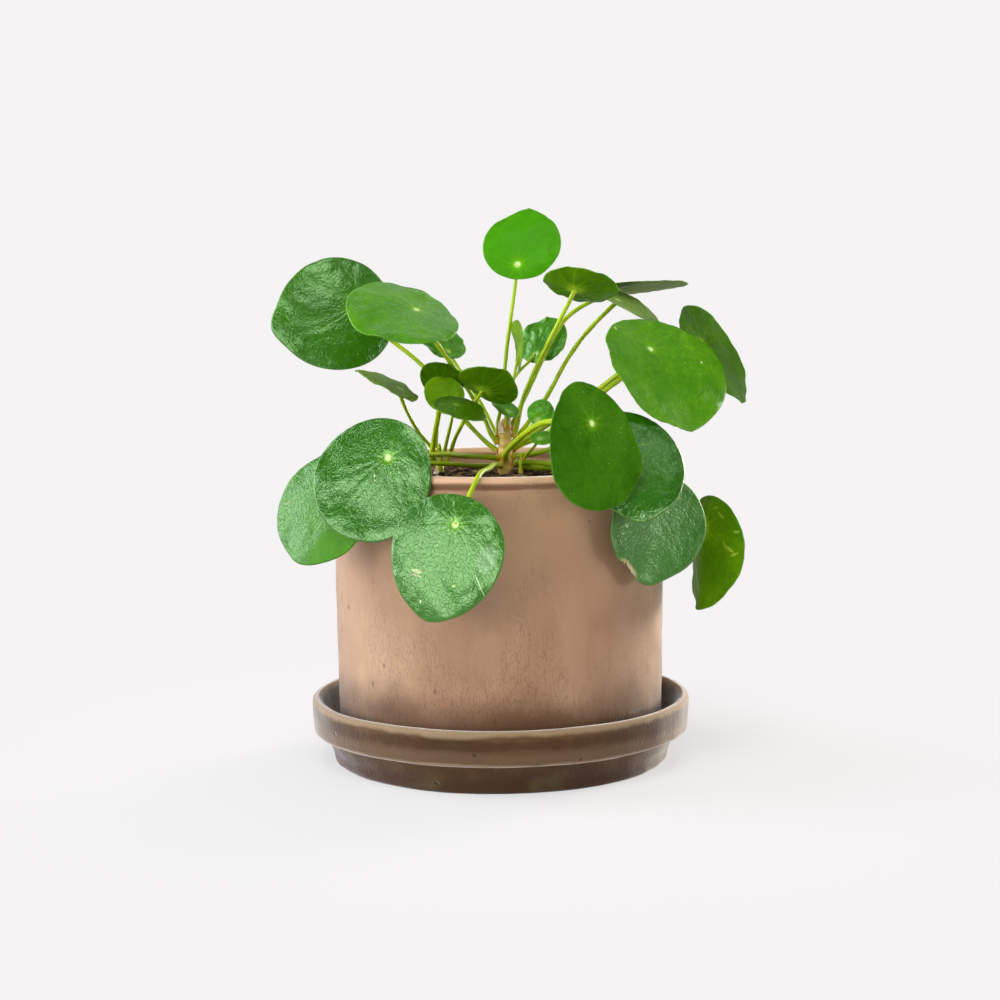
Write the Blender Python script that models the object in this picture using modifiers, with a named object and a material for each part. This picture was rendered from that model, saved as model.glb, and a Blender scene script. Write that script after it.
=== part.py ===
"""A pilea plant in a clay pot that stands in its saucer.

Every length in this file is in millimetres and every angle in degrees; MM turns
lengths into Blender's metres where a mesh or a curve is made. The origin is the
middle of the saucer's underside, +Z is up and -Y is the front of the plant.
"""

import math
from dataclasses import dataclass

import bmesh
import bpy
import numpy as np

MM = 0.001
GAP = 0.3                  # clearance between pieces that rest on or in each other
TURN_STEPS = 48            # facets round a turned piece
MERGE = 1e-5               # metres, for the seam and the axis of a turned piece

# Saucer
SAUCER_FLOOR = 8.0         # height of the floor that the pot stands on
SAUCER_FLOOR_RADIUS = 79.0
SAUCER_BASE_RADIUS = 79.4
SAUCER_FOOT_RADIUS = 81.3  # outside of the wall, under the band
SAUCER_GUTTER = ((80.4, 9.5), (80.8, 17.5), (84.9, 20.5))  # inner wall: radius, height
SAUCER_LIP_RADIUS = 2.5    # half the thickness of the band's rounded top
SAUCER_TOP_RADIUS = 91.1   # outside of the band, at its top
SAUCER_HEIGHT = 31.1
BAND_FOOT = 14.6           # height of the band's lower edge
BAND_FOOT_RADIUS = 90.3
BAND_ROOT_RADIUS = 84.8    # where the band's underside meets the wall

# Pot
POT_TOP = 143.3
POT_RIM_RADIUS = 80.0      # outside of the collar
POT_NECK_RADIUS = 79.2     # outside of the wall, just under the collar
POT_FOOT_RADIUS = 77.7
POT_COLLAR = 5.4           # height of the collar
POT_WALL = 7.5             # at the foot
POT_WALL_TAPER = 0.9       # how much thinner the wall is at the rim
POT_FLOOR = 9.0
POT_FILLET = 6.0           # inside, between the wall and the floor
DRAIN_RADIUS = 8.0
POT_BOTTOM = SAUCER_FLOOR + GAP

# Soil
SOIL_EDGE = 133.8          # height of the surface where it meets the pot
SOIL_CROWN = 3.4           # how much higher the middle is
SOCKET_GAP = 0.5           # round a stem's buried foot

# Leaves
LARGE_LEAF = 26.0          # a longer blade than this is a full-grown one
LARGE_BLADE = 1.3          # thickness at the navel
SMALL_BLADE = 1.0
NAVEL_GAP = 0.4            # clearance between a blade and its petiole's end
FOOT_GAP = 0.35            # clearance between a petiole's foot and its stem
FOOT_STRETCH = 4.0         # length of the straight start of a petiole
TIP_SPREAD = 0.32          # radians off the midrib within which the tip is drawn out
CREASE = 0.12              # half width of the fold along the midrib, over half the length
POINT_SPACING = 9.0        # between the points of a petiole's curve


@dataclass(frozen=True)
class Finish:
    """Colour, roughness and metallic value of one kind of piece."""

    colour: tuple
    roughness: float
    metallic: float = 0.0


CLAY = Finish((0.46, 0.29, 0.20), 0.85)
SAUCER_CLAY = Finish((0.30, 0.19, 0.12), 0.88)
PEAT = Finish((0.045, 0.028, 0.018), 0.95)
BARK = Finish((0.32, 0.22, 0.09), 0.7)
SHOOT = Finish((0.42, 0.40, 0.06), 0.55)
BLADE = Finish((0.05, 0.19, 0.03), 0.38)
STALK = Finish((0.26, 0.36, 0.05), 0.45)


@dataclass(frozen=True)
class Stem:
    """An upright stem: where it stands, and its radius at each of some heights."""

    name: str
    place: tuple
    outline: tuple
    finish: Finish

    @property
    def foot(self):
        return self.outline[0][0]

    @property
    def widest(self):
        return max(radius for _, radius in self.outline)

    def radius_at(self, height):
        heights, radii = zip(*self.outline)
        return float(np.interp(height, heights, radii))


STEMS = (
    Stem("main_stem", (3.3, 0.0), ((124, 2.4), (127, 3.0), (137, 3.2), (147, 3.2),
                                   (156, 3.1), (161, 2.7), (163.5, 1.5)), BARK),
    Stem("side_stem", (-28.5, 8.0), ((126, 1.6), (129, 2.3), (138, 2.4), (146, 2.4),
                                     (149.5, 2.0), (151, 1.2)), BARK),
    Stem("bud", (10.6, -4.0), ((128, 1.0), (131, 1.4), (140, 1.5), (146, 1.4),
                               (148, 0.8)), SHOOT),
)


@dataclass(frozen=True)
class Leaf:
    """A round blade and the petiole that carries it at its navel.

    navel    the point on the blade that the petiole meets
    faces    bearing and elevation of the upper side's normal; bearing 0 is the
             front of the plant and 90 its right
    spin     turn of the midrib in the blade's plane, from straight downhill
    length   along the midrib
    breadth  width over length
    seat     how far along the midrib, from the tip, the navel lies
    egg      more than 0 narrows the tip's half, less than 0 the base's half
    tip      how far the tip is drawn out, over length
    dome, droop, fold   bend of the whole blade, of the tip's half and along the midrib
    stem     the stem that the petiole grows from
    base     bearing and height of the petiole's foot on the stem, and its first rise
    via      points that the petiole passes through
    tail     length of the straight end under the navel
    """

    navel: tuple
    faces: tuple
    spin: float
    length: float
    base: tuple
    via: tuple = ()
    stem: str = "main_stem"
    stalk: float = 2.2
    tail: float = 5.0
    breadth: float = 1.0
    seat: float = 0.65
    egg: float = 0.0
    tip: float = 0.02
    dome: float = 0.05
    droop: float = 0.05
    fold: float = 0.05


LEAVES = (
    # The crown, from the highest leaf clockwise.
    Leaf((10, 5, 237), (-11, 24), 174, 38, (-130, 156, 75),
         ((1.5, 6, 167.5), (3.5, 6, 188), (5.5, 6, 206.5)),
         stalk=1.9, tail=4, seat=0.8, egg=0.04, tip=0.03),
    Leaf((37, -10, 225.5), (152, 60), 97, 35.5, (90, 155.6, 70),
         ((10.5, 4, 168.5), (16, 2, 183), (28.5, -5, 208.5)),
         breadth=0.97, seat=0.43, dome=-0.14, droop=-0.04, fold=0.01),
    Leaf((57.5, 43.5, 223.7), (188, 82), -84, 53, (135, 159, 60),
         ((16, 12.5, 179), (30, 25, 206.5), (40, 31, 219)),
         tail=4, seat=0.71, egg=0.03, dome=-0.01, droop=-0.04, fold=0.03),
    Leaf((58.5, 15.5, 219.3), (65, 64), 17, 37, (120, 152, 50),
         ((23, 6.5, 172), (32.5, 9.5, 190), (49.5, 14.5, 214)),
         tail=4, seat=0.63, dome=-0.01, droop=0.09, fold=0.1),
    Leaf((71.5, -20, 197), (35, 47), 9, 63, (100, 149.4, 35),
         ((20, -3, 158.5), (49.5, -12.5, 179), (58.5, -15.5, 187.5)),
         stalk=2.6, breadth=1.03, seat=0.67, egg=-0.19, dome=0, droop=0.14, fold=0.16),
    Leaf((101, 22, 197), (110, 30), -55, 55, (142, 147.2, 35),
         ((22.5, 6.5, 155), (51.5, 12.5, 175.5), (69, 16.5, 188)),
         stalk=2.6, dome=0, droop=0.06, fold=0.07),
    # The right side, from the front to the back.
    Leaf((41, -89, 168), (45, 16), 1, 58, (0, 145.6, 35),
         ((6, -14, 151.5), (15, -35.5, 161.5), (25.5, -57.5, 168)),
         stalk=2.8, tail=6, breadth=0.98, seat=0.66, egg=-0.21, tip=0, dome=0.07, droop=0.02,
         fold=0.07),
    Leaf((59.5, -62, 154), (28, 35), -8, 54.5, (100, 145.2, 15),
         ((15, 0, 146), (25.5, -10, 150), (42.5, -38, 156.5)),
         stalk=2.4, breadth=0.98, seat=0.61, egg=0.04, tip=0.025, dome=0.06, droop=0.07, fold=0.06),
    Leaf((71.5, -57, 126.5), (29, -5), -9, 49, (120, 141.4, 12),
         ((18, 1, 142.5), (25.5, -5, 142), (54, -45, 147.5), (65, -52, 145)),
         stalk=2.4, breadth=1.04, seat=0.67, tip=0.05, dome=-0.06, droop=0.07, fold=0.13),
    Leaf((97.5, -15, 112), (108, -6), -10, 53.5, (165, 141.6, 10),
         ((17.5, 4, 139.5), (26, 3, 140), (70, -11, 148), (82, -14, 144.5)),
         stalk=2.4, breadth=1.07, seat=0.71, dome=-0.13, droop=0.13, fold=0.18),
    # The left side, from the top down.
    Leaf((-70, 14, 216), (11, 21), -82, 57.5, (-105, 148.4, 30),
         ((-16, 6, 162.5), (-28, 11, 178), (-35.5, 13, 188.5), (-49, 18, 199.5)),
         seat=0.64, egg=0.06, tip=0.045, dome=0.09, droop=0.06),
    Leaf((-37.5, -20, 216.5), (35, 59), -79, 53.5, (-80, 152.8, 45),
         ((-6, 2, 163.5), (-11, 4, 172), (-17, 2, 182.5), (-28, -9, 199.5)),
         seat=0.66, tip=0.015, dome=0.01, droop=0.07, fold=0.06),
    Leaf((-24, 20, 195.5), (35, 47), 176, 24, (-145, 151.8, 55),
         ((-9.5, 12, 174.5), (-17.5, 17, 187)),
         stalk=1.8, tail=3, seat=0.77, tip=0.015, dome=0, droop=0, fold=0.02),
    Leaf((-49.5, -66, 151.5), (-21, 20), -34, 57.5, (-65, 144.8, 10),
         ((-16.5, -22, 148), (-31, -40.5, 151.5)),
         stalk=2.4, seat=0.7, egg=-0.07, tip=0.005, dome=-0.01, droop=-0.02, fold=-0.03),
    Leaf((-77.5, -51, 134.5), (-34, 29), -14, 55.5, (-95, 140.8, 8),
         ((-10, -6, 141.5), (-23, -20, 144), (-64.5, -43, 146.5), (-71, -44.5, 141.5)),
         stalk=2.1, seat=0.6, egg=-0.06, tip=0.03, dome=0.08, droop=0.03, fold=0),
    # The one that hangs over the rim in front, and one over the rim at the back.
    Leaf((-19, -98, 125), (-22, 16), -15, 54, (-35, 141.4, 15),
         ((-4, -48, 144.5), (-8, -76, 145.5), (-11, -88, 142)),
         stalk=2.3, tail=3, seat=0.75, egg=0.06, droop=0.1, fold=0.08),
    Leaf((3, 97, 122), (178, 16), 6, 54, (178, 145.6, 25),
         ((4, 34, 155.5), (3, 70, 151), (3, 86, 144)),
         stalk=2.3, tail=3, dome=0.06, droop=0.06),
    # The plantlet on the side stem.
    Leaf((-46.5, -14, 179.5), (72, 56), 163, 33, (-110, 148.6, 55),
         ((-41.5, 0.5, 157.5), (-44.5, -6, 167.5)),
         stem="side_stem", stalk=1.8, tail=3, breadth=0.97, seat=0.72, egg=-0.03, dome=0.07,
         droop=0.09),
    Leaf((-27.5, 4, 179), (167, 29), 199, 22, (-150, 146, 75), ((-29, 7, 160.5),),
         stem="side_stem", stalk=1.6, tail=2.5, seat=0.72, egg=-0.05),
    Leaf((-27, -13, 172), (10, 27), 158, 19.5, (-80, 142.6, 80), ((-30.5, 0, 153.5),),
         stem="side_stem", stalk=2.6, tail=3, seat=0.8, egg=-0.04, dome=0.04),
    Leaf((-20, -27, 172.5), (27, 68), 56, 25.5, (45, 147, 75), ((-23, -4, 159),),
         stem="side_stem", stalk=1.6, tail=2, breadth=0.97, seat=0.6, dome=0.09, droop=0.08),
    Leaf((-7, -12, 178.5), (139, 54), 241, 30, (100, 142.6, 60),
         ((-22, 2, 153.5), (-15, -6, 166.5), (-10.5, -10, 174)),
         stem="side_stem", stalk=1.9, tail=3, breadth=0.97, seat=0.72, egg=0.06, tip=0.03,
         dome=-0.06, droop=-0.08, fold=-0.03),
    # Young leaves round the top of the main stem and on the bud.
    Leaf((5, -4, 167.5), (46, 56), 174, 14.5, (10, 160.6, 70),
         stalk=1.6, tail=2, breadth=0.98, seat=0.69, dome=-0.02, fold=0.09),
    Leaf((18.5, 27, 193), (-27, 34), 172, 26.5, (178, 158, 75),
         ((5, 10, 177.5), (7.5, 19, 185), (13, 31, 187)),
         stalk=1.6, tail=2.5, breadth=0.97, seat=0.84, dome=0.02, droop=-0.02, fold=0.01),
    Leaf((11, 6, 194.5), (96, -2), 142, 25, (150, 162, 80),
         ((5.5, 7, 174.5), (6.5, 7, 184.5)),
         stalk=1.4, tail=2, seat=0.68, tip=0.01, dome=0.02, droop=0.1, fold=0.08),
    Leaf((18.5, -15, 164), (-10, 13), 159, 13, (50, 151.6, 45), ((11.5, -8, 157),),
         stalk=1.4, tail=2, seat=0.81, dome=0.08),
    Leaf((19.5, -18, 155.5), (-5, 60), 121, 12, (60, 145.4, 55),
         stem="bud", stalk=1.4, tail=2, breadth=0.96, egg=-0.03, dome=0.02),
)


# Scene and materials

def clear_scene():
    for thing in list(bpy.data.objects):
        bpy.data.objects.remove(thing)


def new_collection(name):
    collection = bpy.data.collections.new(name)
    bpy.context.scene.collection.children.link(collection)
    return collection


def principled(name, finish):
    """A Principled BSDF material of the given finish."""
    material = bpy.data.materials.new(name)
    material.use_nodes = True
    shader = material.node_tree.nodes["Principled BSDF"]
    shader.inputs["Base Color"].default_value = (*finish.colour, 1.0)
    shader.inputs["Roughness"].default_value = finish.roughness
    shader.inputs["Metallic"].default_value = finish.metallic
    return material


def add_object(name, data, finish, collection):
    piece = bpy.data.objects.new(name, data)
    piece.data.materials.append(principled(name, finish))
    collection.objects.link(piece)
    return piece


# Turned pieces

def arc(centre, radius, start, end, steps):
    """Points of a circle's arc in the (radius, height) plane, from one angle to another."""
    angles = np.radians(np.linspace(start, end, steps + 1))
    return [(centre[0] + radius * math.cos(a), centre[1] + radius * math.sin(a)) for a in angles]


def turned(name, outline, closed, finish, collection):
    """A piece turned from an outline whose outer side runs from the top down."""
    mesh = bpy.data.meshes.new(name)
    points = [(r * MM, 0.0, z * MM) for r, z in outline]
    edges = [(i, i + 1) for i in range(len(points) - 1)]
    if closed:
        edges.append((len(points) - 1, 0))
    mesh.from_pydata(points, edges, [])
    piece = add_object(name, mesh, finish, collection)
    screw = piece.modifiers.new("Turn", "SCREW")
    screw.axis = "Z"
    screw.steps = screw.render_steps = TURN_STEPS
    screw.use_merge_vertices = True
    screw.merge_threshold = MERGE
    screw.use_smooth_shade = True
    return piece


def saucer_outline():
    """A shallow dish with a thick band round the top of its wall."""
    lip = (SAUCER_TOP_RADIUS - SAUCER_LIP_RADIUS, SAUCER_HEIGHT - SAUCER_LIP_RADIUS)
    bevel = 1.0
    inside = [(0, SAUCER_FLOOR), (SAUCER_FLOOR_RADIUS, SAUCER_FLOOR), *SAUCER_GUTTER]
    crest = arc(lip, SAUCER_LIP_RADIUS, 180, 0, 6)
    band_foot = [(BAND_FOOT_RADIUS, BAND_FOOT + bevel), (BAND_FOOT_RADIUS - bevel, BAND_FOOT),
                 (BAND_ROOT_RADIUS, BAND_FOOT)]
    foot = [(SAUCER_FOOT_RADIUS, 5.5), (SAUCER_FOOT_RADIUS - 0.6, 1.6), (SAUCER_BASE_RADIUS, 0),
            (0, 0)]
    return inside + crest + band_foot + foot


def inner_radius(height):
    """Radius of the pot's inner wall at a height."""
    share = (height - POT_BOTTOM) / (POT_TOP - POT_BOTTOM)
    spread = POT_NECK_RADIUS - POT_FOOT_RADIUS + POT_WALL_TAPER
    return POT_FOOT_RADIUS - POT_WALL + share * spread


def pot_outline():
    """The pot's wall, collar and floor, as a loop round the clay."""
    lip = 2.2
    brim = 1.6
    foot = 2.0
    inside_floor = POT_BOTTOM + POT_FLOOR
    outer_lip = arc((POT_RIM_RADIUS - lip, POT_TOP - lip), lip, 90, 0, 4)
    collar_foot = [(POT_RIM_RADIUS, POT_TOP - POT_COLLAR + 1),
                   (POT_NECK_RADIUS, POT_TOP - POT_COLLAR)]
    outer_foot = arc((POT_FOOT_RADIUS - foot, POT_BOTTOM + foot), foot, 0, -90, 2)
    drain = [(DRAIN_RADIUS, POT_BOTTOM), (DRAIN_RADIUS, inside_floor)]
    corner = (inner_radius(inside_floor) - POT_FILLET, inside_floor + POT_FILLET)
    inner_foot = arc(corner, POT_FILLET, -90, 0, 3)
    inner_lip = arc((inner_radius(POT_TOP) + brim, POT_TOP - brim), brim, 180, 90, 3)
    return outer_lip + collar_foot + outer_foot + drain + inner_foot + inner_lip


def soil_height(radius):
    """Height of the soil's surface: a cosine mound from the middle to the edge."""
    return SOIL_EDGE + SOIL_CROWN * (1 + math.cos(math.pi * radius / inner_radius(SOIL_EDGE))) / 2


def soil_outline():
    """The soil, from the middle of its surface to the middle of its underside."""
    edge = inner_radius(SOIL_EDGE) - GAP
    bottom = POT_BOTTOM + POT_FLOOR + GAP
    surface = [(r, soil_height(r)) for r in np.linspace(0, edge, 7)]
    corner = (inner_radius(bottom) - GAP - POT_FILLET, bottom + POT_FILLET)
    return surface + arc(corner, POT_FILLET, 0, -90, 3) + [(0, bottom)]


def cut_socket(soil, stem, cutters):
    """Cuts the hole that a stem's buried foot stands in."""
    cutter_mesh = bpy.data.meshes.new(stem.name + "_socket")
    shape = bmesh.new()
    overshoot = 10.0
    bottom = stem.foot - GAP
    top = SOIL_EDGE + SOIL_CROWN + overshoot
    radius = stem.widest + SOCKET_GAP
    bmesh.ops.create_cone(shape, cap_ends=True, segments=20, radius1=radius * MM,
                          radius2=radius * MM, depth=(top - bottom) * MM)
    shape.to_mesh(cutter_mesh)
    shape.free()
    cutter = bpy.data.objects.new(stem.name + "_socket", cutter_mesh)
    cutter.location = (stem.place[0] * MM, stem.place[1] * MM, (bottom + top) / 2 * MM)
    cutter.hide_render = True
    cutter.display_type = "WIRE"
    cutters.objects.link(cutter)
    cut = soil.modifiers.new(stem.name + "_socket", "BOOLEAN")
    cut.operation = "DIFFERENCE"
    cut.solver = "EXACT"
    cut.object = cutter


# Stems and petioles

def tube(name, points, radii, sides, finish, collection):
    """A round tube with closed ends along a polyline; sides is 6 or 8."""
    curve = bpy.data.curves.new(name, "CURVE")
    curve.dimensions = "3D"
    curve.bevel_depth = MM
    curve.bevel_resolution = sides // 2 - 2
    curve.use_fill_caps = True
    spline = curve.splines.new("POLY")
    spline.points.add(len(points) - 1)
    for knot, place, radius in zip(spline.points, points, radii):
        knot.co = (*(np.asarray(place) * MM), 1.0)
        knot.radius = radius
    spline.use_smooth = True
    return add_object(name, curve, finish, collection)


def smooth_path(knots):
    """Points of one smooth curve through the knots, evenly spread between its two ends.

    Each stretch is a cubic that starts and ends along the slope that its knots share
    with their neighbours. The curve's parameter grows with the square root of the
    distance, which keeps a short stretch beside a long one from looping. The first and
    the last stretch stay whole, so the tube's ends are square to them.
    """
    knots = np.asarray(knots, float)
    steps = np.linalg.norm(np.diff(knots, axis=0), axis=1)
    at = np.concatenate([[0], np.cumsum(np.sqrt(steps))])
    slope = np.diff(knots, axis=0) / np.diff(at)[:, None]
    before, after = np.diff(at)[:-1, None], np.diff(at)[1:, None]
    inner = (slope[:-1] * after + slope[1:] * before) / (before + after)
    tangents = np.vstack([slope[:1], inner, slope[-1:]])
    count = max(3, round(steps[1:-1].sum() / POINT_SPACING) + 1)
    where = np.concatenate([[0], np.linspace(at[1], at[-2], count), [at[-1]]])
    piece = np.clip(np.searchsorted(at, where, side="right") - 1, 0, len(steps) - 1)
    width = np.diff(at)[piece][:, None]
    u = (where[:, None] - at[piece][:, None]) / width
    return ((2 * u**3 - 3 * u**2 + 1) * knots[piece]
            + (u**3 - 2 * u**2 + u) * width * tangents[piece]
            + (3 * u**2 - 2 * u**3) * knots[piece + 1]
            + (u**3 - u**2) * width * tangents[piece + 1])


def blade_axes(leaf):
    """The blade's upper normal, its midrib towards the tip, and its side, as unit vectors."""
    bearing, elevation = np.radians(leaf.faces)
    spin = math.radians(leaf.spin)
    normal = np.array([math.sin(bearing) * math.cos(elevation),
                       -math.cos(bearing) * math.cos(elevation), math.sin(elevation)])
    downhill = np.array([0.0, 0.0, -1.0]) + normal[2] * normal
    downhill /= np.linalg.norm(downhill)
    midrib = math.cos(spin) * downhill + math.sin(spin) * np.cross(normal, downhill)
    return normal, midrib, np.cross(normal, midrib)


def blade_thickness(leaf):
    return LARGE_BLADE if leaf.length > LARGE_LEAF else SMALL_BLADE


def petiole_route(leaf):
    """The petiole's path from the stem's side to just under the blade's navel."""
    stem = next(stem for stem in STEMS if stem.name == leaf.stem)
    bearing, height, rise = leaf.base
    outwards = np.array([math.sin(math.radians(bearing)), -math.cos(math.radians(bearing)), 0.0])
    up = np.array([0.0, 0.0, 1.0])
    slope = math.radians(rise)
    start = outwards * math.cos(slope) + up * math.sin(slope)
    reach = stem.radius_at(height) + FOOT_GAP + leaf.stalk / 2 * math.sin(slope)
    foot = np.array([*stem.place, height]) + outwards * reach
    normal = blade_axes(leaf)[0]
    end = np.array(leaf.navel) - normal * (blade_thickness(leaf) / 2 + NAVEL_GAP)
    knots = [foot, foot + start * FOOT_STRETCH, *leaf.via, end - normal * leaf.tail, end]
    return smooth_path(knots)


# Blades

def blade_mesh(name, leaf):
    """A thin lens, round its navel, whose points are moved onto the leaf's curved surface.

    On the flattened sphere a point's distance from the axis is its share of the way
    from the navel to the margin, its angle is its direction from the midrib, and its
    height is its place through the thickness.
    """
    large = leaf.length > LARGE_LEAF
    shape = bmesh.new()
    bmesh.ops.create_uvsphere(shape, u_segments=20 if large else 16,
                              v_segments=6 if large else 4, radius=1.0)
    place = np.array([vertex.co for vertex in shape.verts])
    share = np.hypot(place[:, 0], place[:, 1])
    angle = np.arctan2(place[:, 1], place[:, 0])
    half = leaf.length / 2
    along = leaf.length * (leaf.seat - 0.5) + half * np.cos(angle)
    along = share * (along + leaf.tip * leaf.length * np.exp(-(angle / TIP_SPREAD) ** 2))
    across = share * leaf.breadth * half * np.sin(angle) * (1 - leaf.egg * np.cos(angle))
    lift = -leaf.dome * (along**2 + across**2) / half
    lift -= leaf.droop * np.maximum(along, 0) ** 2 / half
    crease = CREASE * half
    lift += leaf.fold * (np.sqrt(across**2 + crease**2) - crease)
    lift += place[:, 2] * blade_thickness(leaf) / 2
    normal, midrib, side = blade_axes(leaf)
    world = (np.array(leaf.navel) + along[:, None] * midrib + across[:, None] * side
             + lift[:, None] * normal) * MM
    for vertex, spot in zip(shape.verts, world):
        vertex.co = spot
    mesh = bpy.data.meshes.new(name)
    shape.to_mesh(mesh)
    shape.free()
    mesh.shade_smooth()
    return mesh


def main():
    clear_scene()
    parts = new_collection("potted_pilea_plant")
    cutters = new_collection("cutters")
    turned("saucer", saucer_outline(), False, SAUCER_CLAY, parts)
    turned("pot", pot_outline(), True, CLAY, parts)
    soil = turned("soil", soil_outline(), False, PEAT, parts)
    for stem in STEMS:
        points = [(*stem.place, height) for height, _ in stem.outline]
        radii = [radius for _, radius in stem.outline]
        tube(stem.name, points, radii, 8, stem.finish, parts)
        cut_socket(soil, stem, cutters)
    for number, leaf in enumerate(LEAVES, 1):
        name = f"leaf_{number:02d}"
        path = petiole_route(leaf)
        tube(name + "_petiole", path, [leaf.stalk / 2] * len(path), 6, STALK, parts)
        add_object(name + "_blade", blade_mesh(name, leaf), BLADE, parts)


main()
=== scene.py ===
"""The looks of a potted pilea plant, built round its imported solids.

A Studio makes the camera, the light and the floor; Saucer, Pot, Soil, Stems and
Leaf make the pieces that are seen. Every piece reads its place from the frame.
Shapes are worked out in millimetres, and store() turns them into Blender's metres.
The base of the saucer is at height 0, +Z is up and -Y is the front of the plant.
"""

import logging
import math
from dataclasses import dataclass, replace
from enum import Enum

import bmesh
import bpy
import numpy as np
from mathutils import Matrix, Vector


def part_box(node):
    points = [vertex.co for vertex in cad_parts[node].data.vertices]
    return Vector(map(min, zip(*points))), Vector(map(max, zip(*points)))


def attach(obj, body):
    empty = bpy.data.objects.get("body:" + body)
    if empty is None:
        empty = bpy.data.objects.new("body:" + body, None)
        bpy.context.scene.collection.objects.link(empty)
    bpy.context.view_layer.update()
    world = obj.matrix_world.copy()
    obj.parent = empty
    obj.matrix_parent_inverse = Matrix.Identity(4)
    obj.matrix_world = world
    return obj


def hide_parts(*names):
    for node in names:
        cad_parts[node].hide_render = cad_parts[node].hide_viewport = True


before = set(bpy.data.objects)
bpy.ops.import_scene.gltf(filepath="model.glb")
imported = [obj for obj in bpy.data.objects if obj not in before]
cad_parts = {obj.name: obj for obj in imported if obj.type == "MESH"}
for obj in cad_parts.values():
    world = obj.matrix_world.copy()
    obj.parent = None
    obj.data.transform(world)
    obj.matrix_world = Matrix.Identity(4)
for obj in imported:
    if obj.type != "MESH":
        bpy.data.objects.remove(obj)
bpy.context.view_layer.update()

LOG = logging.getLogger("potted_pilea")
MM = 0.001
TURN = 2 * math.pi
VEINS = 11                    # main veins of a blade
VEIN_LEAN = 0.25              # how far the veins lean to the tip, in radians
VEIN_SWEEP = 0.012            # and how much more with each millimetre from the navel
SIDE_VEIN_GAP = 5.5           # millimetres from one side vein to the next
SIDE_VEIN_RISE = 0.9          # how far they run outwards for each millimetre aside
NAVEL_TOP = (0.66, 0.86, 0.34)            # a blade over its petiole
NAVEL_BACK = (0.36, 0.56, 0.03)
# A painted highlight along the blade's margin.
RIM_HIGHLIGHT = (0.26, 0.46, 0.08)
SPECK = (0.46, 0.68, 0.36)
TORN = ((0.75, 0.62, 0.38), (0.42, 0.26, 0.10))       # the dry colours of a torn margin
CHART = "chart"               # the map on a blade or a stalk
CHART_MM = 120.0              # how many millimetres the map's unit square holds
BODY = "root"
Array = np.ndarray
Socket = bpy.types.NodeSocket
Triple = tuple[float, float, float]
Colour = Triple


# ---------------------------------------------------------------- surfaces

def unit(vector: Array) -> Array:
    """The vector, or each row of it, at length 1."""
    return vector / np.linalg.norm(vector, axis=-1, keepdims=True)


def angles(count: int) -> Array:
    """Evenly spaced angles round a circle, from 0."""
    return np.arange(count) * TURN / count


def ripple(points: Array, length: float, seed: int, count: int = 18) -> Array:
    """Smooth noise of about unit spread: a sum of cosines of the place, each along its
    own random direction, with a random phase and a length near the one given.

    Args:
        points: places, with 3 numbers on the last axis, in millimetres.
        length: the mean wavelength, in millimetres.
        seed: which noise.
        count: how many cosines are summed.

    Returns:
        One value for each place.
    """
    draw = np.random.default_rng(seed)
    across = unit(draw.normal(size=(count, 3))) / (length * draw.uniform(0.6, 1.6, (count, 1)))
    phase = draw.uniform(0, TURN, count)
    return np.cos(TURN * points @ across.T + phase).sum(axis=-1) / math.sqrt(count / 2)


def grid_quads(rows: int, columns: int, round_rows: bool, round_columns: bool) -> Array:
    """Corner numbers of the quads between neighbours on a grid stored row by row.

    Args:
        rows: how many rows the grid has.
        columns: how many columns it has.
        round_rows: whether the last row joins the first.
        round_columns: whether the last column joins the first.

    Returns:
        Four corners for each quad.
    """
    row = np.arange(rows if round_rows else rows - 1)[:, None]
    column = np.arange(columns if round_columns else columns - 1)[None, :]
    below, beside = (row + 1) % rows * columns, (column + 1) % columns
    corners = (row * columns + column, row * columns + beside, below + beside, below + column)
    return np.stack(np.broadcast_arrays(*corners), axis=-1).reshape(-1, 4)


def cap_fans(rows: int, columns: int) -> Array:
    """Triangles that close the first and the last row of a grid, each row with a point
    of its own. The two points are stored after the grid.

    Args:
        rows: how many rows the grid has.
        columns: how many columns it has.

    Returns:
        Three corners for each triangle.
    """
    around = np.arange(columns)
    after = (around + 1) % columns
    pole, last = np.full(columns, rows * columns), (rows - 1) * columns
    return np.concatenate([np.stack([pole, after, around], axis=1),
                           np.stack([pole + 1, last + around, last + after], axis=1)])


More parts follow.
